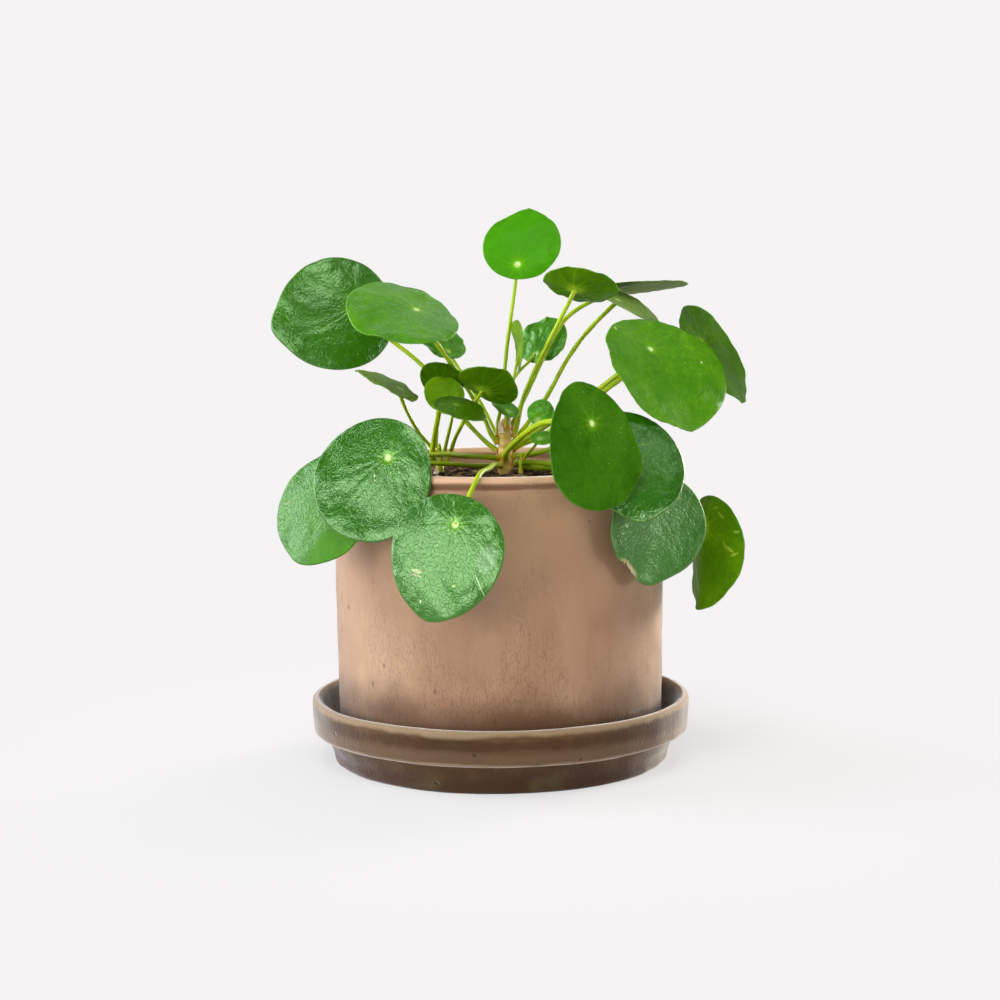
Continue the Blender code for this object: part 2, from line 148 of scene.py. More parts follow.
def store(name: str, points: Array, quads: Array, fans: Array | None = None,
          values: dict[str, Array] | None = None, flat: bool = False) -> bpy.types.Object:
    """Makes an object from points in millimetres, with its faces turned outwards: where
    the signed volume, the sum of each face's corner products, is less than 0, all the
    faces are reversed.

    Args:
        name: the object's name.
        points: one row for each vertex.
        quads: faces with four corners.
        fans: faces with three corners, if there are any.
        values: attributes; one number a vertex, or two for a map on the surface.
        flat: whether the faces are shaded flat.

    Returns:
        The new object, at the origin.
    """
    fans = np.zeros((0, 3), int) if fans is None else fans
    loose = np.concatenate([quads[:, [0, 1, 2]], quads[:, [0, 2, 3]], fans])
    a, b, c = (points[loose[:, corner]] for corner in range(3))
    if np.einsum("ij,ij->", a, np.cross(b, c)) < 0:
        quads, fans = quads[:, ::-1], fans[:, ::-1]
    corners = np.concatenate([quads.ravel(), fans.ravel()]).astype(np.int32)
    sizes = np.concatenate([np.full(len(quads), 4), np.full(len(fans), 3)])
    starts = np.concatenate([[0], np.cumsum(sizes)[:-1]]).astype(np.int32)
    mesh = bpy.data.meshes.new(name)
    mesh.vertices.add(len(points))
    mesh.vertices.foreach_set("co", (points * MM).astype(np.float32).ravel())
    mesh.loops.add(len(corners))
    mesh.loops.foreach_set("vertex_index", corners)
    mesh.polygons.add(len(sizes))
    mesh.polygons.foreach_set("loop_start", starts)
    mesh.update(calc_edges=True)
    for title, value in (values or {}).items():
        if value.ndim == 2:
            layer = mesh.uv_layers.new(name=title)
            layer.uv.foreach_set("vector", value[corners].astype(np.float32).ravel())
        else:
            layer = mesh.attributes.new(title, "FLOAT", "POINT")
            layer.data.foreach_set("value", value.astype(np.float32))
    if not flat:
        mesh.shade_smooth()
    piece = bpy.data.objects.new(name, mesh)
    bpy.context.scene.collection.objects.link(piece)
    return piece


def skin(name: str, rings: Array, ends: tuple[Array, Array] | None = None,
         values: dict[str, Array] | None = None) -> bpy.types.Object:
    """A closed surface over rings of points. Rings and columns are the surface's two
    parameters. With two end points each end closes in a fan; without them the last
    ring joins the first, as on a ring or a pot's wall.

    Args:
        name: the object's name.
        rings: places, as ring by column by 3.
        ends: the points before the first ring and after the last, or None.
        values: attributes as ring by column; an end takes its own ring's first value.

    Returns:
        The new object.
    """
    rows, columns = rings.shape[:2]
    quads = grid_quads(rows, columns, ends is None, True)
    points = rings.reshape(-1, 3)
    listed = {title: value.reshape(rows * columns, *value.shape[2:])
              for title, value in (values or {}).items()}
    if ends is None:
        return store(name, points, quads, None, listed)
    listed = {title: np.concatenate([value, value[:1], value[-columns:1 - columns]])
              for title, value in listed.items()}
    return store(name, np.concatenate([points, *(end[None] for end in ends)]), quads,
                 cap_fans(rows, columns), listed)


def merged(node: str) -> tuple[Array, Array]:
    """A CAD node's vertices without doubles.

    Args:
        node: the node's name.

    Returns:
        The places in millimetres, and how many edges meet at each.
    """
    shape = bmesh.new()
    shape.from_mesh(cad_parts[node].data)
    bmesh.ops.remove_doubles(shape, verts=shape.verts, dist=3e-6)
    points = np.array([vertex.co for vertex in shape.verts]) / MM
    edges = np.array([len(vertex.link_edges) for vertex in shape.verts])
    shape.free()
    return points, edges


def spread(outline: Array, step: float) -> Array:
    """Points along a polyline at even distances, which keep both its ends.

    Args:
        outline: the corners, one row each.
        step: about how far apart the points lie.

    Returns:
        The points, one row each.
    """
    run = np.concatenate([[0], np.cumsum(np.linalg.norm(np.diff(outline, axis=0), axis=1))])
    at = np.linspace(0, run[-1], max(2, round(run[-1] / step) + 1))
    return np.stack([np.interp(at, run, column) for column in outline.T], axis=1)


def spline(knots: Array, at: Array) -> Array:
    """A natural cubic spline through knots, its parameter being the length of their
    polyline. The second derivatives solve the usual three-band system.

    Args:
        knots: places, one row each.
        at: the parameter's values, from 0 to 1, at which the curve is wanted.

    Returns:
        The places on the curve, one row each.
    """
    step = np.linalg.norm(np.diff(knots, axis=0), axis=1)
    run = np.concatenate([[0], np.cumsum(step)])
    slope = np.diff(knots, axis=0) / step[:, None]
    count = len(knots)
    bands = np.eye(count)
    inner = np.arange(1, count - 1)
    bands[inner, inner - 1] = step[:-1]
    bands[inner, inner] = 2 * (step[:-1] + step[1:])
    bands[inner, inner + 1] = step[1:]
    right = np.zeros_like(knots)
    right[1:-1] = 6 * np.diff(slope, axis=0)
    bend = np.linalg.solve(bands, right)
    where = at * run[-1]
    piece = np.clip(np.searchsorted(run, where, side="right") - 1, 0, count - 2)
    width = step[piece][:, None]
    b = (where[:, None] - run[piece][:, None]) / width
    a = 1 - b
    return (a * knots[piece] + b * knots[piece + 1]
            + ((a**3 - a) * bend[piece] + (b**3 - b) * bend[piece + 1]) * width**2 / 6)


def tube_rings(path: Array, radius: Array, columns: int) -> Array:
    """Circles carried along a path: each stands square to the path, and its first
    direction is square to the plane that the path lies nearest to, so it never twists.

    Args:
        path: the centres, one row each.
        radius: a radius for each centre.
        columns: how many points each circle has.

    Returns:
        The rings, as centre by column by 3.
    """
    along = unit(np.gradient(path, axis=0))
    flat_side = np.linalg.svd(path - path.mean(axis=0))[2][2]
    first = unit(flat_side - (along @ flat_side)[:, None] * along)
    second = np.cross(along, first)
    turn = angles(columns)[:, None]
    return path[:, None] + radius[:, None, None] * (np.cos(turn) * first[:, None]
                                                    + np.sin(turn) * second[:, None])


# ---------------------------------------------------------------- node trees

class Wiring:
    """Adds nodes to a node tree and links them, so that a finish reads as a formula."""

    def __init__(self, tree: bpy.types.NodeTree) -> None:
        """Starts on a tree."""
        self.tree = tree

    def node(self, kind: str, inputs: dict[str | int, object] | None = None,
             **settings: object) -> bpy.types.Node:
        """Adds a node.

        Args:
            kind: the node's type, without ShaderNode.
            inputs: values or sockets for its inputs.
            settings: the node's own properties.

        Returns:
            The node.
        """
        node = self.tree.nodes.new("ShaderNode" + kind)
        for title, value in settings.items():
            setattr(node, title, value)
        for title, value in (inputs or {}).items():
            self.feed(node.inputs[title], value)
        return node

    def feed(self, socket: Socket, value: object) -> None:
        """Links a socket or sets its value.

        Args:
            socket: the input.
            value: another node's output, or a number, a vector or a colour.
        """
        if isinstance(value, bpy.types.NodeSocket):
            self.tree.links.new(value, socket)
        elif isinstance(value, tuple) and len(value) == 3 and socket.type == "RGBA":
            socket.default_value = (*value, 1.0)
        else:
            socket.default_value = value

    def math(self, operation: str, *values: object, clamp: bool = False) -> Socket:
        """A Math node's value."""
        return self.node("Math", dict(enumerate(values)), operation=operation,
                         use_clamp=clamp).outputs[0]

    def product(self, first: object, second: object) -> Socket:
        """The product of two values."""
        return self.math("MULTIPLY", first, second)

    def plus(self, first: object, second: object) -> Socket:
        """The sum of two values."""
        return self.math("ADD", first, second)

    def minus(self, first: object, second: object) -> Socket:
        """The first value less the second."""
        return self.math("SUBTRACT", first, second)

    def apart(self, value: object, middle: object) -> Socket:
        """How far a value is from a middle, either way."""
        return self.math("ABSOLUTE", self.minus(value, middle))

    def sway(self, noise: object, size: object) -> Socket:
        """Noise of 0 to 1 made to swing by half of the size either way."""
        return self.product(self.minus(noise, 0.5), size)

    def total(self, *terms: tuple[object, object]) -> Socket:
        """A sum of values, each times its weight.

        Args:
            terms: each value with its weight.

        Returns:
            The sum.
        """
        parts = [self.product(value, weight) for value, weight in terms]
        result = parts[0]
        for part in parts[1:]:
            result = self.plus(result, part)
        return result

    def vector(self, operation: str, first: object, second: object = (0.0, 0.0, 0.0),
               scale: object = 1.0) -> Socket:
        """A Vector Math node's result, which is a number for a length or a dot product.

        Args:
            operation: the node's operation.
            first: a vector.
            second: another, where the operation takes two.
            scale: the number that SCALE multiplies by.

        Returns:
            The result.
        """
        node = self.node("VectorMath", {0: first, 1: second, 3: scale}, operation=operation)
        return node.outputs["Value" if operation in ("LENGTH", "DOT_PRODUCT") else "Vector"]

    def step(self, value: object, low: float, high: float, start: float = 0.0,
             end: float = 1.0) -> Socket:
        """A smooth step.

        Args:
            value: what is stepped.
            low: the value at which the step begins.
            high: the value at which it is over.
            start: the result up to low.
            end: the result from high on.

        Returns:
            The stepped value.
        """
        return self.node("MapRange", {"Value": value, "From Min": low, "From Max": high,
                                      "To Min": start, "To Max": end},
                         interpolation_type="SMOOTHSTEP").outputs[0]

    def fade(self, value: object, low: float, high: float) -> Socket:
        """1 up to low and 0 from high on, with a smooth step between."""
        return self.step(value, low, high, 1.0, 0.0)

    def blend(self, share: object, first: object, second: object,
              mode: str = "MIX") -> Socket:
        """A colour between two others.

        Args:
            share: how much of the second is in it, from 0 to 1.
            first: a colour.
            second: a colour.
            mode: what the second does to the first.

        Returns:
            The colour.
        """
        return self.node("Mix", {0: share, 6: first, 7: second}, data_type="RGBA",
                         blend_type=mode, clamp_factor=True).outputs[2]

    def coats(self, base: object, *coats: tuple[object, object, object]) -> Socket:
        """Coats of colour laid over a base, one after another.

        Args:
            base: the first colour.
            coats: each coat's mask, its share where the mask is 1, and its colour.

        Returns:
            The colour.
        """
        for mask, share, colour in coats:
            base = self.blend(self.product(mask, share), base, colour)
        return base

    def stretch(self, vector: object, scale: Triple, place: Triple = (0, 0, 0)) -> Socket:
        """The vector with each number scaled, then moved."""
        return self.node("Mapping", {"Vector": vector, "Scale": scale,
                                     "Location": place}).outputs[0]

    def tall(self, place: Socket, squeeze: float) -> Socket:
        """A place with its height squeezed, which draws a pattern on it out upwards."""
        return self.stretch(place, (1.0, 1.0, squeeze))

    def noise(self, vector: object, scale: object, detail: float = 3.0,
              rough: float = 0.55) -> Socket:
        """A noise texture's value."""
        return self.node("TexNoise", {"Vector": vector, "Scale": scale, "Detail": detail,
                                      "Roughness": rough}).outputs[0]

    def place(self) -> Socket:
        """The place on the object, in metres."""
        return self.node("TexCoord").outputs["Object"]

    def chart(self) -> Socket:
        """The piece's own map."""
        return self.node("UVMap", uv_map=CHART).outputs[0]

    def value(self, title: str) -> Socket:
        """An attribute's number."""
        return self.node("Attribute", attribute_name=title).outputs["Fac"]

    def finish(self, share: object, first: bpy.types.Node, second: bpy.types.Node,
               output: str) -> None:
        """Ends the tree in a mixture of two shaders.

        Args:
            share: how much of the second is in it.
            first: a shader node.
            second: a shader node.
            output: the name of the tree's output node.
        """
        mixed = self.node("MixShader", {0: share, 1: first.outputs[0], 2: second.outputs[0]})
        self.feed(self.tree.nodes[output].inputs[0], mixed.outputs[0])


class Group:
    """A shader node group that is built once and placed in many materials."""

    def __init__(self, name: str, inputs: dict[str, float | Triple],
                 outputs: tuple[str, ...]) -> None:
        """Makes the group with its sockets.

        Args:
            name: the group's name.
            inputs: each input's first value; three numbers make a vector input.
            outputs: the names of its outputs, which are numbers.
        """
        self.tree = bpy.data.node_groups.new(name, "ShaderNodeTree")
        for title, default in inputs.items():
            kind = "NodeSocketVector" if isinstance(default, tuple) else "NodeSocketFloat"
            socket = self.tree.interface.new_socket(title, in_out="INPUT", socket_type=kind)
            socket.default_value = default
        for title in outputs:
            self.tree.interface.new_socket(title, in_out="OUTPUT",
                                           socket_type="NodeSocketFloat")
        self.wiring = Wiring(self.tree)
        self.inside = self.tree.nodes.new("NodeGroupInput").outputs
        self.out = self.tree.nodes.new("NodeGroupOutput").inputs

    def put(self, wiring: Wiring, inputs: dict[str, object]) -> bpy.types.bpy_prop_collection:
        """Places the group in a tree.

        Args:
            wiring: the tree to place it in.
            inputs: values or sockets for its inputs.

        Returns:
            The outputs, by name.
        """
        return wiring.node("Group", inputs, node_tree=self.tree).outputs


def mottle_group() -> Group:
    """Cloudy variation: a wide noise and a fine one, mixed. Place is in metres.

    Returns:
        The group.
    """
    group = Group("Mottle", {"Place": (0.0, 0.0, 0.0), "Wide": 30.0, "Fine": 200.0,
                             "Share": 0.35}, ("Value",))
    w, place = group.wiring, group.inside["Place"]
    wide = w.noise(place, group.inside["Wide"], 3.0, 0.5)
    fine = w.noise(place, group.inside["Fine"], 4.0, 0.5)
    mixed = w.node("Mix", {0: group.inside["Share"], 2: wide, 3: fine}).outputs[0]
    w.feed(group.out["Value"], w.step(mixed, 0.33, 0.67))
    return group


def pits_group() -> Group:
    """Scattered small pits: 1 at the middle of a cell and 0 away from it, in as many
    cells as Crowding, a share, lets in. Place is in metres.

    Returns:
        The group.
    """
    group = Group("Pits", {"Place": (0.0, 0.0, 0.0), "Scale": 300.0, "Size": 0.25,
                           "Crowding": 0.5}, ("Mask",))
    w, inside = group.wiring, group.inside
    cell = w.node("TexVoronoi", {"Vector": inside["Place"], "Scale": inside["Scale"]}).outputs
    edge = w.math("SUBTRACT", 1.0, w.math("DIVIDE", cell["Distance"], inside["Size"]),
                  clamp=True)
    lot = w.node("SeparateColor", {0: cell["Color"]}).outputs[0]
    chosen = w.math("LESS_THAN", lot, inside["Crowding"])
    w.feed(group.out["Mask"], w.product(w.math("SQRT", edge), chosen))
    return group


def venation_group() -> Group:
    """The veins of a round blade, from a map whose middle is the navel and whose x runs
    to the tip, in millimetres.

    With r and t the distance and angle from the navel, the main veins lie where
    (t + sin t * (VEIN_LEAN + VEIN_SWEEP * r)) * VEINS / turn is a whole number. With w
    the distance to the nearest of them, the side veins lie where (r - 0.9 w) / 5.5 is a
    whole number. Cells of about 2 mm make the net between them.

    Returns:
        The group.
    """
    group = Group("Venation", {"Map": (0.0, 0.0, 0.0), "Wander": 1.0}, ("Main", "Side", "Net"))
    w, chart = group.wiring, group.inside["Map"]
    drift = w.node("TexNoise", {"Vector": chart, "Scale": 0.16, "Detail": 2.0}).outputs["Color"]
    drift = w.vector("SUBTRACT", drift, (0.5, 0.5, 0.5))
    drift = w.vector("SCALE", drift, scale=w.product(group.inside["Wander"], 2.2))
    spot = w.vector("ADD", chart, drift)
    along, across, _ = w.node("SeparateXYZ", {0: spot}).outputs
    reach = w.math("SQRT", w.total((along, along), (across, across)))
    angle = w.math("ARCTAN2", across, along)
    lean = w.plus(VEIN_LEAN, w.product(reach, VEIN_SWEEP))
    phase = w.plus(angle, w.product(w.math("SINE", angle), lean))
    phase = w.product(phase, VEINS / TURN)
    off = w.apart(phase, w.math("ROUND", phase))
    width = w.product(w.product(off, TURN / VEINS), reach)
    main = w.product(w.fade(width, 0.15, 0.75), w.step(reach, 1.0, 26.0, 1.0, 0.25))
    rank = w.math("DIVIDE", w.minus(reach, w.product(width, SIDE_VEIN_RISE)), SIDE_VEIN_GAP)
    gap = w.product(w.apart(rank, w.math("ROUND", rank)), SIDE_VEIN_GAP)
    side = w.product(w.fade(gap, 0.1, 0.6), w.step(reach, 3.0, 8.0))
    net = w.node("TexVoronoi", {"Vector": spot, "Scale": 0.5}, feature="DISTANCE_TO_EDGE")
    w.feed(group.out["Main"], main)
    w.feed(group.out["Side"], side)
    w.feed(group.out["Net"], w.fade(net.outputs[0], 0.0, 0.16))
    return group


def blot_group() -> Group:
    """A ragged ellipse on a map in millimetres: the map is moved to the blot's middle,
    turned, divided by its half-lengths and warped by noise. The mask is 1 within.

    Returns:
        The group.
    """
    group = Group("Blot", {"Map": (0.0, 0.0, 0.0), "Middle": (0.0, 0.0, 0.0), "Turn": 0.0,
                           "Size": (1.0, 1.0, 1.0), "Ragged": 0.5}, ("Mask",))
    w, inside = group.wiring, group.inside
    spot = w.vector("SUBTRACT", inside["Map"], inside["Middle"])
    turned = w.node("VectorRotate", {"Vector": spot, "Angle": inside["Turn"]},
                    rotation_type="Z_AXIS").outputs[0]
    reach = w.vector("LENGTH", w.vector("DIVIDE", turned, inside["Size"]))
    reach = w.plus(reach, w.sway(w.noise(inside["Map"], 1.1, 3.0), inside["Ragged"]))
    w.feed(group.out["Mask"], w.fade(reach, 0.75, 1.1))
    return group


class Groups:
    """The node groups, each built once."""

    def __init__(self) -> None:
        """Builds every group."""
        self.mottle = mottle_group()
        self.pits = pits_group()
        self.venation = venation_group()
        self.blot = blot_group()

    def cloud(self, w: Wiring, place: Socket, wide: float, fine: float,
              share: float) -> Socket:
        """The Mottle group's value in a tree."""
        return self.mottle.put(w, {"Place": place, "Wide": wide, "Fine": fine,
                                   "Share": share})["Value"]


# ---------------------------------------------------------------- finishes

def new_material(name: str, plain: dict[str, object]
                 ) -> tuple[bpy.types.Material, Wiring, bpy.types.Node]:
    """A material with a Principled BSDF.

    Args:
        name: the material's name.
        plain: the shader's values that are the same all over, by socket.

    Returns:
        The material, its wiring and its shader.
    """
    material = bpy.data.materials.new(name)
    material.use_nodes = True
    shader = material.node_tree.nodes["Principled BSDF"]
    for title, value in plain.items():
        shader.inputs[title].default_value = value
    return material, Wiring(material.node_tree), shader


def dress_shader(w: Wiring, shader: bpy.types.Node, colour: Socket, rough: Socket,
                 relief: Socket, depth: float) -> None:
    """Feeds what varies over a surface to its shader.

    Args:
        w: the material's wiring.
        shader: its Principled BSDF.
        colour: the base colour.
        rough: the roughness.
        relief: the height that bumps the normal.
        depth: how many metres a relief of 1 stands for.
    """
    w.feed(shader.inputs["Base Color"], colour)
    w.feed(shader.inputs["Roughness"], rough)
    node = w.node("Bump", {"Height": relief, "Strength": 1.0, "Distance": depth})
    w.feed(shader.inputs["Normal"], node.outputs[0])


@dataclass(frozen=True)
class Band:
    """A stretch of height over which a clay is paler or darker."""

    height: float             # its middle, in millimetres
    half: float               # half of its width
    share: float              # how much of the colour it takes
    colour: Colour


@dataclass(frozen=True)
class Clay:
    """Unglazed fired clay, with upright grain, worm-like pits and stains, and bands that make it
    paler or darker; several bands are painted highlights and painted shade.
    """

    name: str
    body: Colour
    pale: Colour
    rust: Colour
    # The colour of a damp mark at the foot, which also paints shade on the lower wall.
    damp_and_shade: Colour
    moss: Colour
    damp_and_shade_low: float           # millimetres: the damp and painted-shade mark is full up to here
    damp_and_shade_top: float           # and it is gone above this height
    green: float              # how much of the dry clay has a green film
    grain: float = 0.5        # how much the upright grain darkens
    sheen: float = 0.45
    shine: float = 0.4
    bands: tuple[Band, ...] = ()
    grain_tint: Colour = (0.72, 0.66, 0.6)    # what the clay is multiplied by in its grain
    dent_tint: Colour = (0.34, 0.27, 0.22)    # in its pits
    dust_tint: Colour = (0.6, 0.55, 0.5)      # and in its finest speckle
    cloud_cells: tuple[float, float] = (26.0, 170.0)  # cells of each pattern a metre
    grain_cells: tuple[float, float] = (120.0, 520.0)
    dust_cells: float = 1300.0
    worm_cells: float = 640.0
    worm_zone_cells: float = 38.0
    chip_cells: float = 170.0
    rust_cells: float = 17.0
    damp_and_shade_cells: float = 30.0
    moss_cells: float = 34.0
    damp_and_shade_ragged: float = 30.0 # how far the edge of the damp and painted-shade mark wanders, in millimetres

    def make(self, groups: Groups) -> bpy.types.Material:
        """Builds the material. Clouds, rust and grain are followed by the bands, several of which
        are painted highlights and painted shade, then a damp mark at the foot that is also painted
        shade, and the green film; worm-like lines and chips are sunk in at the end.
        The relief is in millimetres.

        Args:
            groups: the shared node groups.

        Returns:
            The material.
        """
        material, w, shader = new_material(self.name, {
            "Specular IOR Level": self.shine, "Sheen Weight": self.sheen,
            "Sheen Roughness": 0.35})
        place = w.place()
        height = w.product(w.node("SeparateXYZ", {0: place}).outputs[2], 1 / MM)
        cloud = groups.cloud(w, w.tall(place, 0.6), *self.cloud_cells, 0.3)
        streak = groups.cloud(w, w.tall(place, 0.2), *self.grain_cells, 0.5)
        fine = w.noise(place, self.dust_cells, 3.0, 0.65)
        worm = w.apart(w.noise(w.tall(place, 0.3), self.worm_cells, 2.0, 0.4), 0.5)
        zone = w.plus(w.noise(w.tall(place, 0.5), self.worm_zone_cells),
                      w.step(height, 30.0, 95.0, 0.16, -0.02))
        worm = w.product(w.fade(worm, 0.0, 0.03),
                         w.step(zone, 0.47, 0.62, 0.0, min(1.0, 2 * self.grain)))
        chip = groups.pits.put(w, {"Place": place, "Scale": self.chip_cells, "Size": 0.2,
                                   "Crowding": 0.05})["Mask"]
        rust = w.step(w.noise(w.tall(place, 0.45), self.rust_cells, 4.0), 0.47, 0.68)
        colour = w.coats(self.body, (cloud, 0.8, self.pale), (rust, 0.6, self.rust))
        colour = w.blend(w.product(streak, self.grain * 0.35), colour, self.grain_tint,
                         "MULTIPLY")
        # Each band makes a stretch of height paler or darker; on these clays several are painted
        # highlights and painted shade.
        for band in self.bands:
            off = w.plus(w.apart(height, band.height), w.sway(cloud, band.half * 0.5))
            colour = w.coats(colour, (w.fade(off, band.half * 0.35, band.half), band.share,
                                      band.colour))
        # A damp mark at the foot, which is also painted shade: it darkens the lower wall, where
        # the floor would light it, and the saucer's shaded foot.
        wet_and_shade = w.plus(height, w.sway(w.noise(place, self.damp_and_shade_cells, 4.0), -self.damp_and_shade_ragged))
        wet_and_shade = w.fade(wet_and_shade, self.damp_and_shade_low, self.damp_and_shade_top)
        aside = w.stretch(place, (1, 1, 1), (3.1, 0, 0))
        green = w.step(w.noise(aside, self.moss_cells, 4.0), 0.5, 0.72)
        colour = w.coats(colour, (wet_and_shade, 1.0, self.damp_and_shade),
                         (green, w.plus(self.green, w.product(wet_and_shade, 0.25)), self.moss))
        dent = w.math("MAXIMUM", w.product(worm, 0.5), chip)
        colour = w.blend(w.product(dent, 0.75), colour, self.dent_tint, "MULTIPLY")
        colour = w.blend(w.product(fine, 0.4), colour, self.dust_tint, "MULTIPLY")
        rough = w.step(w.plus(cloud, w.product(wet_and_shade, -0.6)), -0.6, 1.0, 0.6, 0.85)
        relief = w.total((fine, 0.1), (streak, 0.06), (worm, -0.14), (chip, -0.5))
        dress_shader(w, shader, colour, rough, relief, MM)
        return material


class Blemish(Enum):
    """What a mark on a blade is: its colour. Three kinds paint light and shade: the dark crease
    lines are painted shade in creases, the pale haze is a painted sheen, and the deep green matt
    patch is painted shade.
    """

    SCAR = (0.60, 0.50, 0.28)
    SCRATCH = (0.55, 0.66, 0.36)
    DOT = (0.72, 0.76, 0.48)
    # Painted shade: a dark line where a crease would lie in shade.
    PAINTED_CREASE_SHADE = (0.012, 0.055, 0.003)
    BLUSH = (0.45, 0.26, 0.20)
    FLECK = (0.36, 0.50, 0.06)
    # A painted sheen: a pale grey-green patch where the wax would reflect the light.
    PAINTED_SHEEN = (0.44, 0.60, 0.40)
    # Painted shade: deep green where the leaf lies in another's shadow; its mask also makes the
    # wax rougher.
    PAINTED_SHADE_MATT = (0.050, 0.19, 0.003)


@dataclass(frozen=True)
class Mark:
    """A mark on a blade, placed in millimetres from the navel."""

    kind: Blemish
    along: float              # towards the tip
    across: float
    length: float             # half of its length
    width: float              # half of its width
    turn: float = 0.0         # degrees from the tip's direction
    share: float = 0.85
    ragged: float = 0.9


@dataclass(frozen=True)
class Wax:
    """A living blade: green wax over veins on top, olive with raised veins beneath."""

    green: Colour = (0.060, 0.26, 0.004)
    deep: Colour = (0.026, 0.150, 0.002)
    under: Colour = (0.075, 0.18, 0.002)
    shade: Colour = (0.030, 0.095, 0.001)
    glow: Colour = (0.22, 0.50, 0.01)     # the light that comes through, and the veins
    rough: float = 0.24
    shine: float = 0.35
    through: float = 0.14     # the share of light that comes through
    grain: float = 1.0        # how strong the fine relief is
    net: float = 0.3          # how dark the net of small veins is; 0.6 of it is the painted shade in the creases
    specks: float = 0.05      # the share of cells with a pale speck
    navel: float = 0.9        # how pale the spot over the petiole is
    marks: tuple[Mark, ...] = ()
    marked_under: bool = False            # whether the marks are on the underside
    cloud_cells: tuple[float, float] = (0.06, 0.4)    # cells of each pattern a millimetre
    fine_cells: float = 1.5
    pebble_cells: float = 0.75
    wrinkle_cells: float = 0.42
    speck_cells: float = 0.55
    smoothest: float = 0.12   # the least roughness

    def make(self, name: str, groups: Groups) -> bpy.types.Material:
        """Builds the material; it reads the blade's map and its attributes. The relief
        is in millimetres, and the veins are furrows on top and ribs beneath.

        Args:
            name: the material's name.
            groups: the shared node groups.

        Returns:
            The material.
        """
        material, w, shader = new_material(name, {
            "Specular IOR Level": self.shine, "Specular Tint": (0.62, 1.0, 0.50, 1.0)})
        spot = w.stretch(w.chart(), (CHART_MM, CHART_MM, 1.0),
                         (-CHART_MM / 2, -CHART_MM / 2, 0.0))
        upper, rim, tear = w.value("upper"), w.value("rim"), w.value("tear")
        lower = w.minus(1.0, upper)
        layer = w.vector("ADD", spot, (0.0, 0.0, pattern_depth(name)))
        veins = groups.venation.put(w, {"Map": layer})
        reach = w.vector("LENGTH", spot)
        cloud = groups.cloud(w, layer, *self.cloud_cells, 0.35)
        fine = w.noise(layer, self.fine_cells, 4.0, 0.7)
        pebble = w.noise(layer, self.pebble_cells, 2.0, 0.5)
        wrinkle = w.apart(w.noise(layer, self.wrinkle_cells), 0.5)
        # The wrinkles' creases: sunk in the relief, and painted darker as shade in the creases.
        crease_and_shade = w.fade(wrinkle, 0.0, 0.03)
        lines = w.total((veins["Main"], 0.6), (veins["Side"], 0.3))
        halo = w.total((w.fade(reach, 1.2, 5.0), 0.3 * self.navel),
                       (veins["Main"], w.step(reach, 2.0, 10.0, 0.12, 0.0)))
        top = w.coats(
            w.blend(cloud, self.deep, self.green), (w.step(fine, 0.3, 0.75), 0.35, self.green),
            (lines, 0.12, self.glow), (veins["Net"], self.net, self.deep),
            # The creases take painted shade; the halo round the navel is the blade's own pale
            # colour.
            (crease_and_shade, self.net * 0.6, self.deep), (halo, 1.0, self.glow),
            (w.fade(reach, 0.7, 2.1), self.navel, NAVEL_TOP))
        back = w.coats(
            w.blend(cloud, self.shade, self.under), (veins["Main"], 0.3, self.glow),
            (veins["Side"], 0.12, self.glow), (w.step(fine, 0.4, 0.7), 0.2, self.glow),
            (w.fade(reach, 1.2, 7.0), 0.8, NAVEL_BACK))
        speck = groups.pits.put(w, {"Place": layer, "Scale": self.speck_cells, "Size": 0.17,
                                    "Crowding": self.specks})["Mask"]
        # The paler rim along the margin is a painted highlight.
        colour = w.coats(w.blend(upper, back, top), (rim, 0.35, RIM_HIGHLIGHT),
                         (speck, w.product(upper, 0.7), SPECK))
        dull = w.product(lower, 0.2)
        for mark in self.marks:
            mask = groups.blot.put(w, {
                "Map": spot, "Middle": (mark.along, mark.across, 0.0),
                "Turn": -math.radians(mark.turn), "Size": (mark.length, mark.width, 1.0),
                "Ragged": mark.ragged})["Mask"]
            mask = w.product(mask, lower if self.marked_under else upper)
            colour = w.coats(colour, (mask, mark.share, mark.kind.value))
            # The matt patch, painted shade, is also rougher.
            if mark.kind is Blemish.PAINTED_SHADE_MATT:
                dull = w.plus(dull, w.product(mask, 0.5))
        colour = w.blend(tear, colour, w.blend(fine, *TORN))
        rough = w.plus(w.plus(self.rough, w.sway(fine, 0.35 * self.grain)), dull)
        rough = w.plus(rough, w.total((rim, 0.4), (tear, 0.4)))
        groove = w.plus(w.product(upper, -0.13), 0.07)
        relief = w.total(
            (fine, 0.045 * self.grain), (w.step(wrinkle, 0.0, 0.16), 0.05 * self.grain),
            (pebble, 0.11 * self.grain), (lines, groove), (veins["Net"], -0.035),
            (crease_and_shade, -0.05 * self.grain))
        rough = w.math("MAXIMUM", rough, self.smoothest)
        dress_shader(w, shader, colour, rough, relief, MM)
        thin = w.node("BsdfTranslucent", {"Color": self.glow})
        w.finish(self.through, shader, thin, "Material Output")
        return material


def pattern_depth(name: str) -> float:
    """How deep in the noise a blade's pattern lies, which sets it apart from the others."""
    letters = sum(ord(letter) * (place + 1) for place, letter in enumerate(name))
    return len(name) * 3.7 + letters * 0.731


